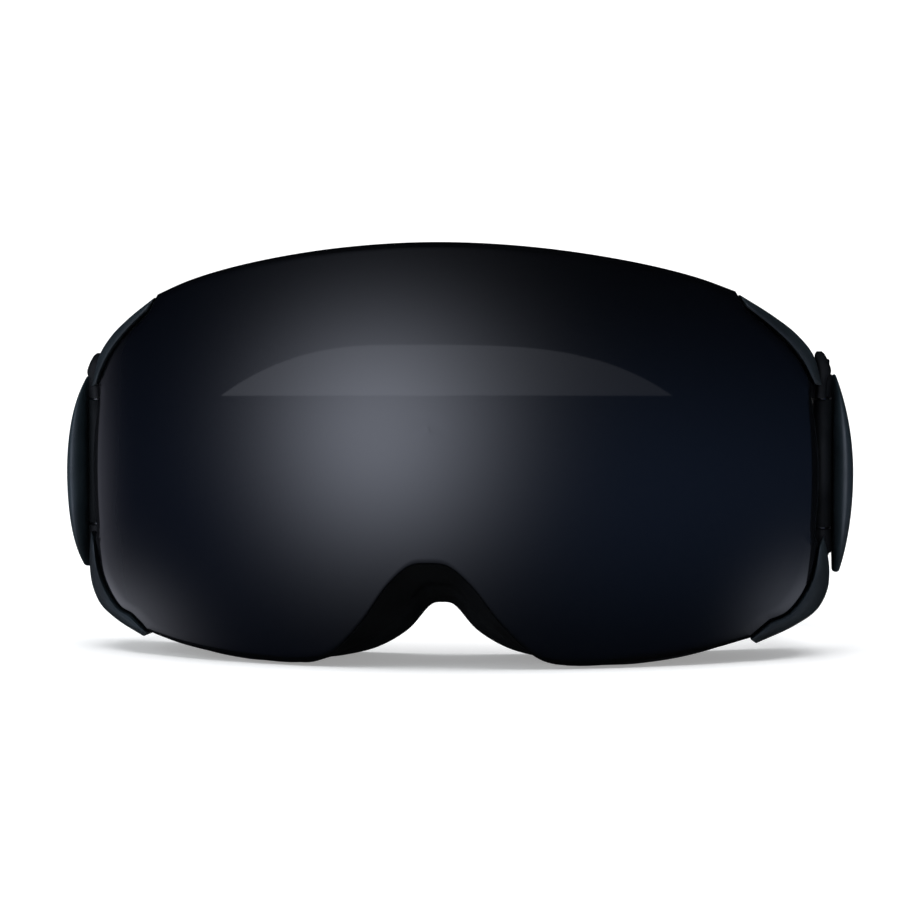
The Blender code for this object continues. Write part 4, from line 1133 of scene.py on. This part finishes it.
def make_arm(side, label, finish):
    """A plate with a window for the strap, whose round bar the webbing folds over."""
    outer = rounded_loop((ARM_CLEAR, ARM_BOTTOM), (ARM_LENGTH, ARM_TOP), 5 * MM)
    half = STRAP_WIDTH / 2 + 1.2 * MM
    inner = rounded_loop((WINDOW_FRONT, STRAP_Z - half), (WINDOW_BACK, STRAP_Z + half), 1.0 * MM)
    soft = 0.7 * MM
    bends = [math.radians(90 * i / 4) for i in range(5)]
    rim = [(soft * (1 - math.sin(a)), soft * (1 - math.cos(a))) for a in bends]
    loops = [(ARM_OUTER - depth, towards(outer, inner, edge)) for edge, depth in rim[::-1]]
    loops += [(ARM_OUTER - depth, towards(inner, outer, edge)) for edge, depth in rim]
    loops += [(ARM_INNER + depth, towards(inner, outer, edge)) for edge, depth in rim[::-1]]
    loops += [(ARM_INNER + depth, towards(outer, inner, edge)) for edge, depth in rim]
    bm = bmesh.new()
    skin(bm, [[(x + arm_lean(p.x, p.y), p.x, p.y) for p in points] for x, points in loops])
    place_outrigger(bm, side)
    arm = finished(bm, f"outrigger_arm_{label}_moulding", finish["arm"], 50)
    neck = bmesh.new()
    low = (-1.6 * MM, 0.4 * MM, KNUCKLE_BOTTOM + 0.1 * MM)
    high = (1.7 * MM, 7.0 * MM, KNUCKLE_TOP - 0.1 * MM)
    rounded_box(neck, low, high, 0.5 * MM)
    place_outrigger(neck, side)
    carve(arm, "UNION", neck)
    knuckle = bmesh.new()
    tall = KNUCKLE_TOP - KNUCKLE_BOTTOM
    soft = 0.35 * MM
    profile = (
        (0, KNUCKLE_RADIUS - soft),
        (soft, KNUCKLE_RADIUS),
        (tall - soft, KNUCKLE_RADIUS),
        (tall, KNUCKLE_RADIUS - soft),
    )
    lathed(knuckle, profile, (0, 0, KNUCKLE_BOTTOM), ALONG_Z)
    place_outrigger(knuckle, side)
    carve(arm, "UNION", knuckle)
    drilled = bmesh.new()
    lathed(drilled, ((-MM, PIN_BORE), (tall + MM, PIN_BORE)), (0, 0, KNUCKLE_BOTTOM), ALONG_Z)
    for y, z in SCREW_SPOTS:
        lathed(drilled, ((0, SCREW_HOLE), (12 * MM, SCREW_HOLE)), (-6 * MM, y, z), ALONG_X)
    place_outrigger(drilled, side)
    carve(arm, "DIFFERENCE", drilled)
    add_piece(arm, f"outrigger_{label}", "arm", f"outrigger_arm_{label}")


def cover_section(share):
    """The cover's plan at a height: flat inside, a rounded nose at the front and a bulged outer face."""
    z = COVER_MIDDLE_Z + COVER_HALF * share
    shrink = abs(share) ** 5
    bulge = COVER_BULGES[0] if share < 0 else COVER_BULGES[1]
    outer = max(COVER_OUTER - (z - COVER_MIDDLE_Z) ** 2 / (2 * bulge), COVER_INNER + 0.7 * MM)
    thick = outer - COVER_INNER
    front = COVER_FRONT + COVER_NARROWING[0] * shrink
    back = COVER_BACK - COVER_NARROWING[1] * shrink
    knots = (
        (COVER_INNER + 0.35 * thick, back),
        (COVER_INNER + 0.02 * thick, back - 0.5 * MM),
        (COVER_INNER, back - 1.2 * MM),
        (COVER_INNER, (front + back) / 2 + 1.5 * MM),
        (COVER_INNER, front + 4.2 * MM),
        (COVER_INNER + 0.14 * thick, front + 2.0 * MM),
        (COVER_INNER + 0.42 * thick, front + 0.4 * MM),
        (COVER_INNER + 0.70 * thick, front),
        (COVER_INNER + 0.92 * thick, front + 0.9 * MM),
        (outer, front + 2.6 * MM),
        (outer - 0.06 * MM, front + 6.0 * MM),
        (outer - 0.3 * MM, (front + back) / 2 + 2 * MM),
        (outer - 0.9 * MM * thick / (4 * MM), back - 2.0 * MM),
        (outer - 1.7 * MM * thick / (4 * MM), back - 0.5 * MM),
    )
    knots = [Vector(knot) for knot in knots]
    count = len(knots)
    points = []
    for i in range(count):
        points += between(knots[i - 1], knots[i], knots[(i + 1) % count], knots[(i + 2) % count], 4)
    return points, z


def groove_depth(point, drop):
    """How deep the groove is at a point of the cover: it lies between the outer face's swell and its rim."""
    if point.x <= COVER_INNER + 1.2 * MM:
        return 0.0
    front_line = COVER_FRONT + COVER_NARROWING[0] * drop**5 + 5.0 * MM
    back_line = COVER_BACK - COVER_NARROWING[1] * drop**5 - 3.4 * MM
    near = min(abs(point.y - front_line), abs(point.y - back_line))
    return GROOVE_DEPTH * math.exp(-((near / GROOVE_WIDTH) ** 2)) * min(1.0, (1 - drop) * 8)


def make_cover(side, label, finish):
    """The soft cap over the hinge, with a shallow groove round its outer face."""
    count = 44
    bm = bmesh.new()
    loops = []
    for i in range(count + 1):
        share = math.sin(math.radians(-90 + 180 * i / count))
        points, z = cover_section(share)
        centre = sum(points, Vector((0, 0))) / len(points)
        drop = abs(share)
        # The tips round in to a quarter of their width.
        size = 1.0 if drop < 0.985 else math.sqrt(max(0.0, (1 - drop) / 0.015)) * 0.75 + 0.25
        points = [centre.lerp(point, size) for point in points]
        loops.append([(point.x - groove_depth(point, drop), point.y, z) for point in points])
    tube(bm, loops)
    place_outrigger(bm, side)
    cover = finished(bm, f"outrigger_cover_{label}_cap", finish["cover"], 60)
    holes = bmesh.new()
    profile = ((0, SCREW_HOLE), (2 * MM + COVER_INNER + 2.1 * MM, SCREW_HOLE))
    for y, z in SCREW_SPOTS:
        lathed(holes, profile, (-2 * MM, y, z), ALONG_X)
    place_outrigger(holes, side)
    carve(cover, "DIFFERENCE", holes, 55)
    add_piece(cover, f"outrigger_{label}", "cover", f"outrigger_cover_{label}")


def make_screws(side, label, finish):
    """Two cross-head screws that hold the cover, driven from inside the arm."""
    for number, (y, z) in enumerate(SCREW_SPOTS, 1):
        face = ARM_INNER + arm_lean(y, z) - 0.35 * MM
        head = face - 1.1 * MM
        end = COVER_INNER + 1.8 * MM
        # Measured from the head's top: a domed head, then a shank with a chamfered end.
        profile = (
            (0.02 * MM, 0.7 * MM),
            (0.12 * MM, 1.3 * MM),
            (0.4 * MM, SCREW_HEAD - 0.08 * MM),
            (0.7 * MM, SCREW_HEAD),
            (face - head, SCREW_HEAD - 0.05 * MM),
            (face - head, SCREW_RADIUS),
            (end - head - 0.3 * MM, SCREW_RADIUS),
            (end - head, SCREW_RADIUS - 0.3 * MM),
        )
        bm = bmesh.new()
        lathed(bm, profile, (head, y, z), ALONG_X)
        place_outrigger(bm, side)
        screw = finished(bm, f"cover_screw_{number}_{label}_turned", finish["steel"], 50)
        for long_y, long_z in ((1.05, 0.22), (0.22, 1.05)):
            low = (head - 0.3 * MM, y - long_y * MM, z - long_z * MM)
            high = (head + 0.65 * MM, y + long_y * MM, z + long_z * MM)
            cross = bmesh.new()
            rounded_box(cross, low, high, 0.05 * MM, steps=1)
            place_outrigger(cross, side)
            carve(screw, "DIFFERENCE", cross)
        add_piece(screw, f"outrigger_{label}", "steel", f"cover_screw_{number}_{label}")


# ---------------------------------------------------------------- strap


def strap_direction():
    """The way the straight part runs, in plan, on the right side."""
    return Vector((-math.sin(STRAP_TURN_IN), math.cos(STRAP_TURN_IN)))


def outward(way):
    """The outward direction, in plan, from a way that runs back along the right side."""
    return Vector((way.y, -way.x))


def strap_plan():
    """The middle line of the right half in plan, from the arm's bar to the middle of the back."""
    way = strap_direction()
    end = STRAP_START + way * STRAP_STRAIGHT
    back = Vector((0, FRONT_Y + DEPTH - LAYER_OFFSET - STRAP_THICKNESS / 2))
    straight = [STRAP_START + way * STRAP_STRAIGHT * i / 14 for i in range(14)]
    curve = interpolate_bezier(
        end.to_3d(),
        (end + way * STRAP_HANDLES[0]).to_3d(),
        (back + Vector((STRAP_HANDLES[1], 0))).to_3d(),
        back.to_3d(),
        60,
    )
    return straight + [point.to_2d() for point in curve]


def strap_lengths(plan):
    """The distance along the strap at each point of its plan."""
    lengths = [0.0]
    for a, b in zip(plan, plan[1:]):
        lengths.append(lengths[-1] + (b - a).length)
    return lengths


def strap_drop(along, total):
    """How far the strap has sunk at a distance along it: level, then a steady fall, then level again."""
    fall = STRAP_Z - STRAP_WIDTH / 2
    slope = fall / (STRAP_STRAIGHT - STRAP_LEVEL / 2 + (total - STRAP_STRAIGHT) / 2)
    if along < STRAP_LEVEL:
        return slope * max(0.0, along) ** 2 / (2 * STRAP_LEVEL)
    if along < STRAP_STRAIGHT:
        return slope * (along - STRAP_LEVEL / 2)
    left = total - along
    return fall - slope * left**2 / (2 * (total - STRAP_STRAIGHT))


def strap_total():
    """The length of the right half in plan."""
    return strap_lengths(strap_plan())[-1]


def strap_slope():
    """How steeply the straight part sinks, once it has tipped down."""
    total = strap_total()
    fall = strap_drop(STRAP_STRAIGHT, total) - strap_drop(STRAP_LEVEL, total)
    return fall / (STRAP_STRAIGHT - STRAP_LEVEL)


def strap_stations(start, step):
    """(point, outward direction, drop, distance) along the right half, at about equal steps."""
    plan = strap_plan()
    lengths = strap_lengths(plan)
    total = lengths[-1]
    count = math.ceil((total - start) / step)
    stations = []
    i = 0
    for k in range(count + 1):
        distance = start + (total - start) * k / count
        while i < len(plan) - 2 and lengths[i + 1] < distance:
            i += 1
        share = (distance - lengths[i]) / (lengths[i + 1] - lengths[i])
        point = plan[i].lerp(plan[i + 1], share)
        here = plan[i + 1] - plan[i]
        ahead = plan[min(i + 2, len(plan) - 1)] - plan[min(i + 1, len(plan) - 2)]
        behind = plan[i] - plan[i - 1] if i else here
        way = behind.lerp(here, 0.5 + share) if share < 0.5 else here.lerp(ahead, share - 0.5)
        way.normalize()
        if k == count:
            way = Vector((-1, 0))
        stations.append((point, outward(way), strap_drop(distance, total), distance))
    return stations


def band_section(low, high, thickness, across_steps):
    """A flat band's rounded section: (outward offset, height) pairs."""
    radius = thickness * 0.45
    half = thickness / 2
    flat = [(high - low - 2 * radius) * i / across_steps for i in range(across_steps + 1)]
    turn = [math.radians(180 * i / 6) for i in range(1, 6)]
    points = [(half, low + radius + rise) for rise in flat]
    points += [(half * math.cos(a), high - radius + radius * math.sin(a)) for a in turn]
    points += [(-half, high - radius - rise) for rise in flat]
    points += [(-half * math.cos(a), low + radius - radius * math.sin(a)) for a in turn]
    return points


def with_strap_map(obj, sections, distances):
    """A UV map in metres: along the strap and across it."""
    layer = obj.data.uv_layers.new(name="strap")
    ring_size = len(sections)
    for loop in obj.data.loops:
        index = loop.vertex_index
        if index < ring_size * len(distances):
            row, place = divmod(index, ring_size)
            layer.data[loop.index].uv = (distances[row], sections[place][1])
        else:
            row = 0 if index == ring_size * len(distances) else len(distances) - 1
            layer.data[loop.index].uv = (distances[row], 0.0)
    return obj


def band(name, rows, section_points, distances, material):
    """A band through rows of (middle, outward, up) placed sections, with the strap's UV map."""
    bm = bmesh.new()
    loops = [[middle + out * u + up * v for u, v in section_points] for middle, out, up in rows]
    tube(bm, loops)
    obj = finished(bm, name, material, 60)
    return with_strap_map(obj, section_points, distances)


def whole_rows(start, step, offset):
    """Rows from the right, round the back, to the left. Distances grow all the way."""
    stations = strap_stations(start, step)
    total = stations[-1][3]
    rows, distances = [], []
    for point, out, drop, distance in stations:
        at = point + out * offset
        rows.append((Vector((at.x, at.y, STRAP_Z - drop)), out.to_3d(), ALONG_Z))
        distances.append(distance)
    mirror = Vector((-1, 1, 1))
    for middle, out, up in rows[-2::-1]:
        rows.append((middle * mirror, out * mirror, up))
    distances += [2 * total - d for d in distances[-2::-1]]
    return rows, distances


def fold_plan():
    """The folded webbing's middle line in plan: in on the outer side, round the bar and back."""
    points = [(STRAP_LAP - GAP, LAYER_OFFSET)]
    for i in range(12, -1, -1):
        share = i / 12
        spread = FOLD_SPREAD + (LAYER_OFFSET - FOLD_SPREAD) * eased(share)
        points.append((2.0 * MM + FOLD_MERGE * share, spread))
    # Half of the turn round the bar, and then all that came before it mirrored to the inner side.
    for i in range(1, 12):
        angle = math.radians(90 * i / 12)
        points.append((-1.0 * MM - 1.8 * MM * math.sin(angle), FOLD_SPREAD * math.cos(angle) ** 0.8))
    points.append((-2.8 * MM, 0.0))
    points += [(along, -spread) for along, spread in points[-2:0:-1]]
    points += [(along * MM, -LAYER_OFFSET) for along in (22, 29, 36, 43, 50)]
    points.append((STRAP_FOLD_END, -LAYER_OFFSET))
    return [Vector(point) for point in points]


def fold_rows(side):
    """The folded end's rows, in along the outer layer, round the bar and out along the inner one."""
    way = strap_direction()
    outwards = outward(way)
    total = strap_total()
    line = fold_plan()
    slope = strap_slope()
    rows, distances = [], []
    run = 0.0
    for i, here in enumerate(line):
        run += (here - line[i - 1]).length if i else 0.0
        tangent = (line[min(i + 1, len(line) - 1)] - line[max(i - 1, 0)]).normalized()
        # The webbing's own outward side follows the fold round.
        normal = outward(tangent)
        point = STRAP_START + way * here.x + outwards * here.y
        out = way * normal.x + outwards * normal.y
        drop = strap_drop(max(0.0, here.x), total)
        lean = way * slope if i == len(line) - 1 else Vector((0, 0))
        up = Vector((side * lean.x, lean.y, 1.0))
        middle = Vector((side * point.x, point.y, STRAP_Z - drop))
        rows.append((middle, Vector((side * out.x, out.y, 0)), up))
        distances.append(run)
    return rows, distances


def strap_point(along, offset, height, side):
    """A point on the straight part of the strap, offset outwards from its middle line."""
    way = strap_direction()
    total = strap_total()
    at = STRAP_START + way * along + outward(way) * offset
    return Vector((side * at.x, at.y, STRAP_Z - strap_drop(along, total) + height))


def stitch(bm, start, end, radius, out):
    """One stitch: a short thread that dips into the webbing at both ends."""
    along = end - start
    across = along.normalized().cross(out)
    steps = 6
    loops = []
    for i in range(steps + 1):
        share = i / steps
        rise = math.sin(math.pi * share) ** 0.5 if 0 < share < 1 else 0.0
        centre = start + along * share + out * (radius * (rise * 1.1 - 0.7))
        size = radius * (0.55 + 0.45 * rise)
        turn = [2 * math.pi * k / 6 for k in range(6)]
        loops.append([centre + (across * math.cos(a) + out * math.sin(a)) * size for a in turn])
    tube(bm, loops)


def make_stitching(side, label, finish):
    """Two rows of stitches through the sewn end of the fold, where it meets the webbing."""
    bm = bmesh.new()
    way = strap_direction()
    out = Vector((side * way.y, -way.x, 0))
    half = STRAP_WIDTH / 2 - 2.0 * MM
    surface = LAYER_OFFSET + STRAP_THICKNESS / 2
    for along in STITCH_ROWS:
        for i in range(int(2 * half / STITCH_PITCH)):
            low = -half + STITCH_PITCH * (i + 0.12)
            start = strap_point(along, surface, low, side)
            end = strap_point(along, surface, low + STITCH_PITCH * 0.76, side)
            stitch(bm, start, end, STITCH_RADIUS, out)
    return finished(bm, f"strap_stitching_{label}", finish["thread"])


def make_strap(finish):
    half = STRAP_WIDTH / 2
    section_points = band_section(-half, half, STRAP_THICKNESS, 16)
    rows, distances = whole_rows(STRAP_LAP, 3.5 * MM, LAYER_OFFSET)
    webbing = band("strap_webbing_elastic", rows, section_points, distances, finish["webbing"])
    add_piece(webbing, "frame", "strap", "strap_webbing")
    inside = LAYER_OFFSET - STRAP_THICKNESS / 2 - GAP - GRIP_THICKNESS / 2
    rows, distances = whole_rows(GRIP_START, 1.6 * MM, inside)
    # The printed line waves a little up and down, as it leaves the nozzle.
    waved = [
        (middle + up * GRIP_WAVE * math.sin(d * 2 * math.pi / GRIP_WAVE_LENGTH), out, up)
        for (middle, out, up), d in zip(rows, distances)
    ]
    for number, height in enumerate(GRIP_HEIGHTS, 1):
        low, high = height - GRIP_WIDTH / 2, height + GRIP_WIDTH / 2
        bead = band_section(low, high, GRIP_THICKNESS, 4)
        obj = band(f"grip_strip_{number}_bead", waved, bead, distances, finish["silicone"])
        add_piece(obj, "frame", "silicone", f"grip_strip_{number}")
    for side, label in SIDES:
        rows, distances = fold_rows(side)
        obj = band(f"strap_fold_{label}_elastic", rows, section_points, distances, finish["webbing"])
        start = strap_point(1.0 * MM, 0.0, 0.0, side)
        end = strap_point(STRAP_LAP - 1.0 * MM, 0.0, 0.0, side)
        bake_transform(obj)
        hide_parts(f"strap_fold_{label}")
        add_piece(make_stitching(side, label, finish), "frame", "strap")


# ---------------------------------------------------------------- adjusters


def adjuster_matrix(side):
    """x along the strap, y outwards, z across the webbing, from the adjuster's middle."""
    total = strap_total()
    way = strap_direction()
    along = Vector((way.x, way.y, -strap_slope())).normalized()
    outwards = outward(way).to_3d()
    across = outwards.cross(along)
    if across.z < 0:
        across = -across
    point = STRAP_START + way * ADJUSTER_SPOT
    centre = Vector((point.x, point.y, STRAP_Z - strap_drop(ADJUSTER_SPOT, total)))
    mirrored = Vector((side, 1, 1))
    axes = [v * mirrored for v in (along, outwards, across)]
    return Matrix.Translation(centre * mirrored) @ Matrix(axes).transposed().to_4x4()


def make_adjuster(side, label, finish):
    """A tri-glide: two bars outside the webbing, one inside it, and a rail above and below."""
    outer_low = LAYER_OFFSET + STRAP_THICKNESS / 2 + GAP
    outer_high = outer_low + ADJUSTER_THICKNESS
    inner_high = LAYER_OFFSET - STRAP_THICKNESS / 2 - GAP
    inner_low = inner_high - ADJUSTER_THICKNESS
    half = ADJUSTER_LENGTH / 2
    reach = STRAP_WIDTH / 2 + 0.5 * MM
    whole = reach + ADJUSTER_RAIL
    bm = bmesh.new()
    matrix = adjuster_matrix(side)
    rounded_box(bm, (-half, inner_low, reach), (half, outer_high, whole), 0.75 * MM, matrix, 4)
    body = finished(bm, f"strap_adjuster_{label}_moulding", finish["trim"], 50)
    inside = whole - 0.4 * MM
    for low, high, radius in (
        ((-half, inner_low, -whole), (half, outer_high, -reach), 0.75),
        ((-half, outer_low, -inside), (-half + ADJUSTER_BAR, outer_high, inside), 0.7),
        ((half - ADJUSTER_BAR, outer_low, -inside), (half, outer_high, inside), 0.7),
        ((-ADJUSTER_BAR / 2, inner_low, -inside), (ADJUSTER_BAR / 2, inner_high, inside), 0.7),
    ):
        bar = bmesh.new()
        rounded_box(bar, low, high, radius * MM, matrix, 4)
        carve(body, "UNION", bar)
    add_piece(body, f"adjuster_{label}", "trim", f"strap_adjuster_{label}")


# ---------------------------------------------------------------- studio

CAMERA_PLACE = Vector((0.0669, -0.6365, 0.0596))
CAMERA_TARGET = Vector((0.0, -0.083, 0.047))
CAMERA_LENS = 95.35
CAMERA_SHIFT = (0.0207, -0.0040)
# How much of a card's light the lens mirrors to the camera.
REFLECTANCE = 0.0385
# The world's light: colour, strength, and the rays that see it in place of the ones before it.
WORLD_LIGHTS = (
    ((0.9, 0.95, 1.0), 0.30, None),
    ((0.8, 0.9, 1.0), 0.01, "Is Glossy Ray"),
    ((1.0, 1.0, 1.0), 1.25, "Is Camera Ray"),
)
FLOOR_COLOUR = (0.93, 0.93, 0.935, 1.0)
FLOOR_GLOW = 0.30
FLOOR_HALF = 8.0
SUN_POWER = 2.5
SUN_SPREAD = 56
SUN_TURN = (math.radians(3), math.radians(2), 0)
FILL_PLACE, FILL_TARGET = Vector((-1.0, -0.55, 0.35)), Vector((0, -0.04, 0.045))
FILL_SIZE = (0.7, 0.9)
FILL_POWER = 5.0
FILL_COLOUR = (0.92, 0.98, 1.0)

SOFT_CARD_DISTANCE, WINDOW_CARD_DISTANCE = 1.6, 1.3
# The soft light that the lens shows: the middle of each part on the lens and its spread, as (x, z) in
# millimetres, and its linear colour as the camera sees it.
SOFT_GLOWS = (
    ((-11, 52.5), (16.8, 17.0), (0.120, 0.127, 0.150)),
    ((48, 40), (32, 21), (0.0036, 0.0058, 0.0118)),
    ((-45, 40), (24, 28), (0.0016, 0.0026, 0.0060)),
    ((-77, 4), (12, 9), (0.034, 0.035, 0.040)),
    ((-86, 36), (4.5, 24), (0.011, 0.011, 0.013)),
    ((82, 8), (8, 9), (0.032, 0.034, 0.040)),
)
# The window that it mirrors: a level sill, an arched top and two pointed ends, in millimetres on the lens.
# Its colour is given for its left half and for its right end.
WINDOW_SILL = 60.8
WINDOW_RISE = 11.2
WINDOW_TOP_X = -9.0
WINDOW_ENDS = (-48.5, 53.0)
WINDOW_BENDS = (2.3, 3.9)
WINDOW_LIGHT = ((0.0225, 0.0235, 0.0265), (0.0092, 0.0096, 0.0110))


def mirrored_point(x, z, distance):
    """Where the camera looks by way of the lens at (x, z), at a distance from the lens."""
    point = Vector((x, lens_y(x, z), z))
    slope_x = x / math.sqrt(LENS_RADIUS_X**2 - x**2)
    rise = z - LENS_MIDDLE_Z
    slope_z = rise / math.sqrt(LENS_RADIUS_Z**2 - rise**2)
    normal = Vector((slope_x, -1, slope_z)).normalized()
    ray = (point - CAMERA_PLACE).normalized()
    return point + (ray - 2 * ray.dot(normal) * normal) * distance


def glow_card(name, rows, distance, colour_at, see_through):
    """A card that only mirrors show. rows are points on the lens in millimetres, and each has a colour."""
    bm = bmesh.new()
    grid = [[bm.verts.new(mirrored_point(x * MM, z * MM, distance)) for x, z in row] for row in rows]
    for here, there in zip(grid, grid[1:]):
        for i in range(len(here) - 1):
            bm.faces.new((here[i], here[i + 1], there[i + 1], there[i]))
    mesh = bpy.data.meshes.new(name)
    bm.to_mesh(mesh)
    bm.free()
    layer = mesh.color_attributes.new("glow", "FLOAT_COLOR", "POINT")
    for i, (x, z) in enumerate(point for row in rows for point in row):
        layer.data[i].color = (*(c / REFLECTANCE for c in colour_at(x, z)), 1.0)
    card = add_object(name, mesh)
    made = bpy.data.materials.new(name)
    made.use_nodes = True
    tree = made.node_tree
    tree.nodes.clear()
    colour = tree.nodes.new("ShaderNodeVertexColor")
    colour.layer_name = "glow"
    light = tree.nodes.new("ShaderNodeEmission")
    tree.links.new(colour.outputs["Color"], light.inputs["Color"])
    out = tree.nodes.new("ShaderNodeOutputMaterial")
    result = light.outputs[0]
    if see_through:
        both = tree.nodes.new("ShaderNodeAddShader")
        tree.links.new(light.outputs[0], both.inputs[0])
        tree.links.new(tree.nodes.new("ShaderNodeBsdfTransparent").outputs[0], both.inputs[1])
        result = both.outputs[0]
    tree.links.new(result, out.inputs["Surface"])
    mesh.materials.append(made)
    for ray in ("camera", "diffuse", "transmission", "volume_scatter", "shadow"):
        setattr(card, f"visible_{ray}", False)


def soft_light(x, z):
    """The colour of the soft light at a point on the lens."""
    total = [0.0, 0.0, 0.0]
    for (mid_x, mid_z), (wide, tall), colour in SOFT_GLOWS:
        share = math.exp(-(((x - mid_x) / wide) ** 2 + ((z - mid_z) / tall) ** 2) / 2)
        total = [t + c * share for t, c in zip(total, colour)]
    return total


def window_light(x, _):
    """The window's colour, which changes from its left end to its right."""
    share = eased((x - WINDOW_TOP_X) / (WINDOW_ENDS[1] - WINDOW_TOP_X))
    return [a + (b - a) * share for a, b in zip(*WINDOW_LIGHT)]


def window_rows():
    """The window's outline as columns from its sill to its arch."""
    columns = []
    steps = 60
    for i in range(steps + 1):
        # Closer together towards the ends, where the arch drops.
        x = WINDOW_ENDS[0] + (WINDOW_ENDS[1] - WINDOW_ENDS[0]) * (1 - math.cos(math.pi * i / steps)) / 2
        half = 0 if x < WINDOW_TOP_X else 1
        share = min(1.0, abs((x - WINDOW_TOP_X) / (WINDOW_ENDS[half] - WINDOW_TOP_X)))
        top = WINDOW_SILL + max(0.02, WINDOW_RISE * (1 - share ** WINDOW_BENDS[half]))
        columns.append([(x, WINDOW_SILL + (top - WINDOW_SILL) * k / 4) for k in range(5)])
    return columns


def aimed(place, target):
    """The turn that points a light or a camera from a place at a target."""
    return (target - place).to_track_quat("-Z", "Y").to_euler()


def make_lights():
    """A wide high sky and a soft box, which light the goggles but don't show in the lens."""
    sun = bpy.data.lights.new("high_sky", "SUN")
    sun.energy = SUN_POWER
    sun.angle = math.radians(SUN_SPREAD)
    sky = add_object("high_sky", sun)
    sky.rotation_euler = SUN_TURN
    sky.visible_glossy = False
    box = bpy.data.lights.new("left_fill", "AREA")
    box.shape = "RECTANGLE"
    box.size, box.size_y = FILL_SIZE
    box.energy = FILL_POWER
    box.color = FILL_COLOUR
    fill = add_object("left_fill", box)
    fill.location = FILL_PLACE
    fill.rotation_euler = aimed(FILL_PLACE, FILL_TARGET)
    fill.visible_glossy = False


def make_world():
    """White to the camera, dim to the goggles, and nearly black to the lens."""
    world = bpy.data.worlds.new("studio")
    bpy.context.scene.world = world
    world.use_nodes = True
    tree = world.node_tree
    tree.nodes.clear()
    path = tree.nodes.new("ShaderNodeLightPath")
    before = None
    for colour, strength, ray in WORLD_LIGHTS:
        light = tree.nodes.new("ShaderNodeBackground")
        light.inputs["Color"].default_value = (*colour, 1.0)
        light.inputs["Strength"].default_value = strength
        result = light.outputs[0]
        if ray:
            mix = tree.nodes.new("ShaderNodeMixShader")
            tree.links.new(path.outputs[ray], mix.inputs[0])
            tree.links.new(before, mix.inputs[1])
            tree.links.new(result, mix.inputs[2])
            result = mix.outputs[0]
        before = result
    out = tree.nodes.new("ShaderNodeOutputWorld")
    tree.links.new(before, out.inputs["Surface"])


def make_floor():
    """A pale floor that gives off a little light of its own, as a lit white sweep does."""
    bm = bmesh.new()
    bmesh.ops.create_grid(bm, x_segments=1, y_segments=1, size=FLOOR_HALF)
    pale = bpy.data.materials.new("pale_floor")
    pale.use_nodes = True
    shader = pale.node_tree.nodes["Principled BSDF"]
    shader.inputs["Base Color"].default_value = FLOOR_COLOUR
    shader.inputs["Roughness"].default_value = 0.9
    shader.inputs["Specular IOR Level"].default_value = 0.0
    shader.inputs["Emission Color"].default_value = (1.0, 1.0, 1.0, 1.0)
    shader.inputs["Emission Strength"].default_value = FLOOR_GLOW
    floor = finished(bm, "floor", pale)
    floor.visible_glossy = False


def make_camera():
    data = bpy.data.cameras.new("camera")
    data.lens = CAMERA_LENS
    data.shift_x, data.shift_y = CAMERA_SHIFT
    camera = add_object("camera", data)
    camera.location = CAMERA_PLACE
    camera.rotation_euler = aimed(CAMERA_PLACE, CAMERA_TARGET)
    bpy.context.scene.camera = camera
    bpy.context.scene.view_settings.view_transform = "Standard"


def make_studio():
    make_world()
    make_floor()
    make_lights()
    # The soft card covers the whole lens.
    soft_rows = [[(x, z) for x in range(-86, 87, 2)] for z in range(-4, 101, 3)]
    glow_card("soft_sky", soft_rows, SOFT_CARD_DISTANCE, soft_light, False)
    glow_card("window", window_rows(), WINDOW_CARD_DISTANCE, window_light, True)
    make_camera()


# ---------------------------------------------------------------- scene

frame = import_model()
finish = make_finishes()
make_lens(finish)
make_frame(finish)
for side, label in SIDES:
    make_shoulder(f"upper_shoulder_{label}", UPPER_SHOULDER, side, finish["frame"], SHOULDER_TONGUE)
    make_shoulder(f"lower_shoulder_{label}", LOWER_SHOULDER, side, finish["frame"])
    # The lugs, of the frame's rubber, take the darker black nylon finish, and the horns the darker wall
    # finish: painted shade in the hinge's recess.
    make_lugs(side, label, finish["trim"])
    make_horn(side, label, finish["wall"])
    make_pin(side, label, finish["steel"])
    make_arm(side, label, finish)
    make_cover(side, label, finish)
    make_screws(side, label, finish)
    make_adjuster(side, label, finish)
make_foam(finish)
for place, first, last in VENT_FOAMS:
    make_vent_foam(f"vent_foam_{place}", first, last, finish["vent_foam"])
make_strap(finish)
make_studio()
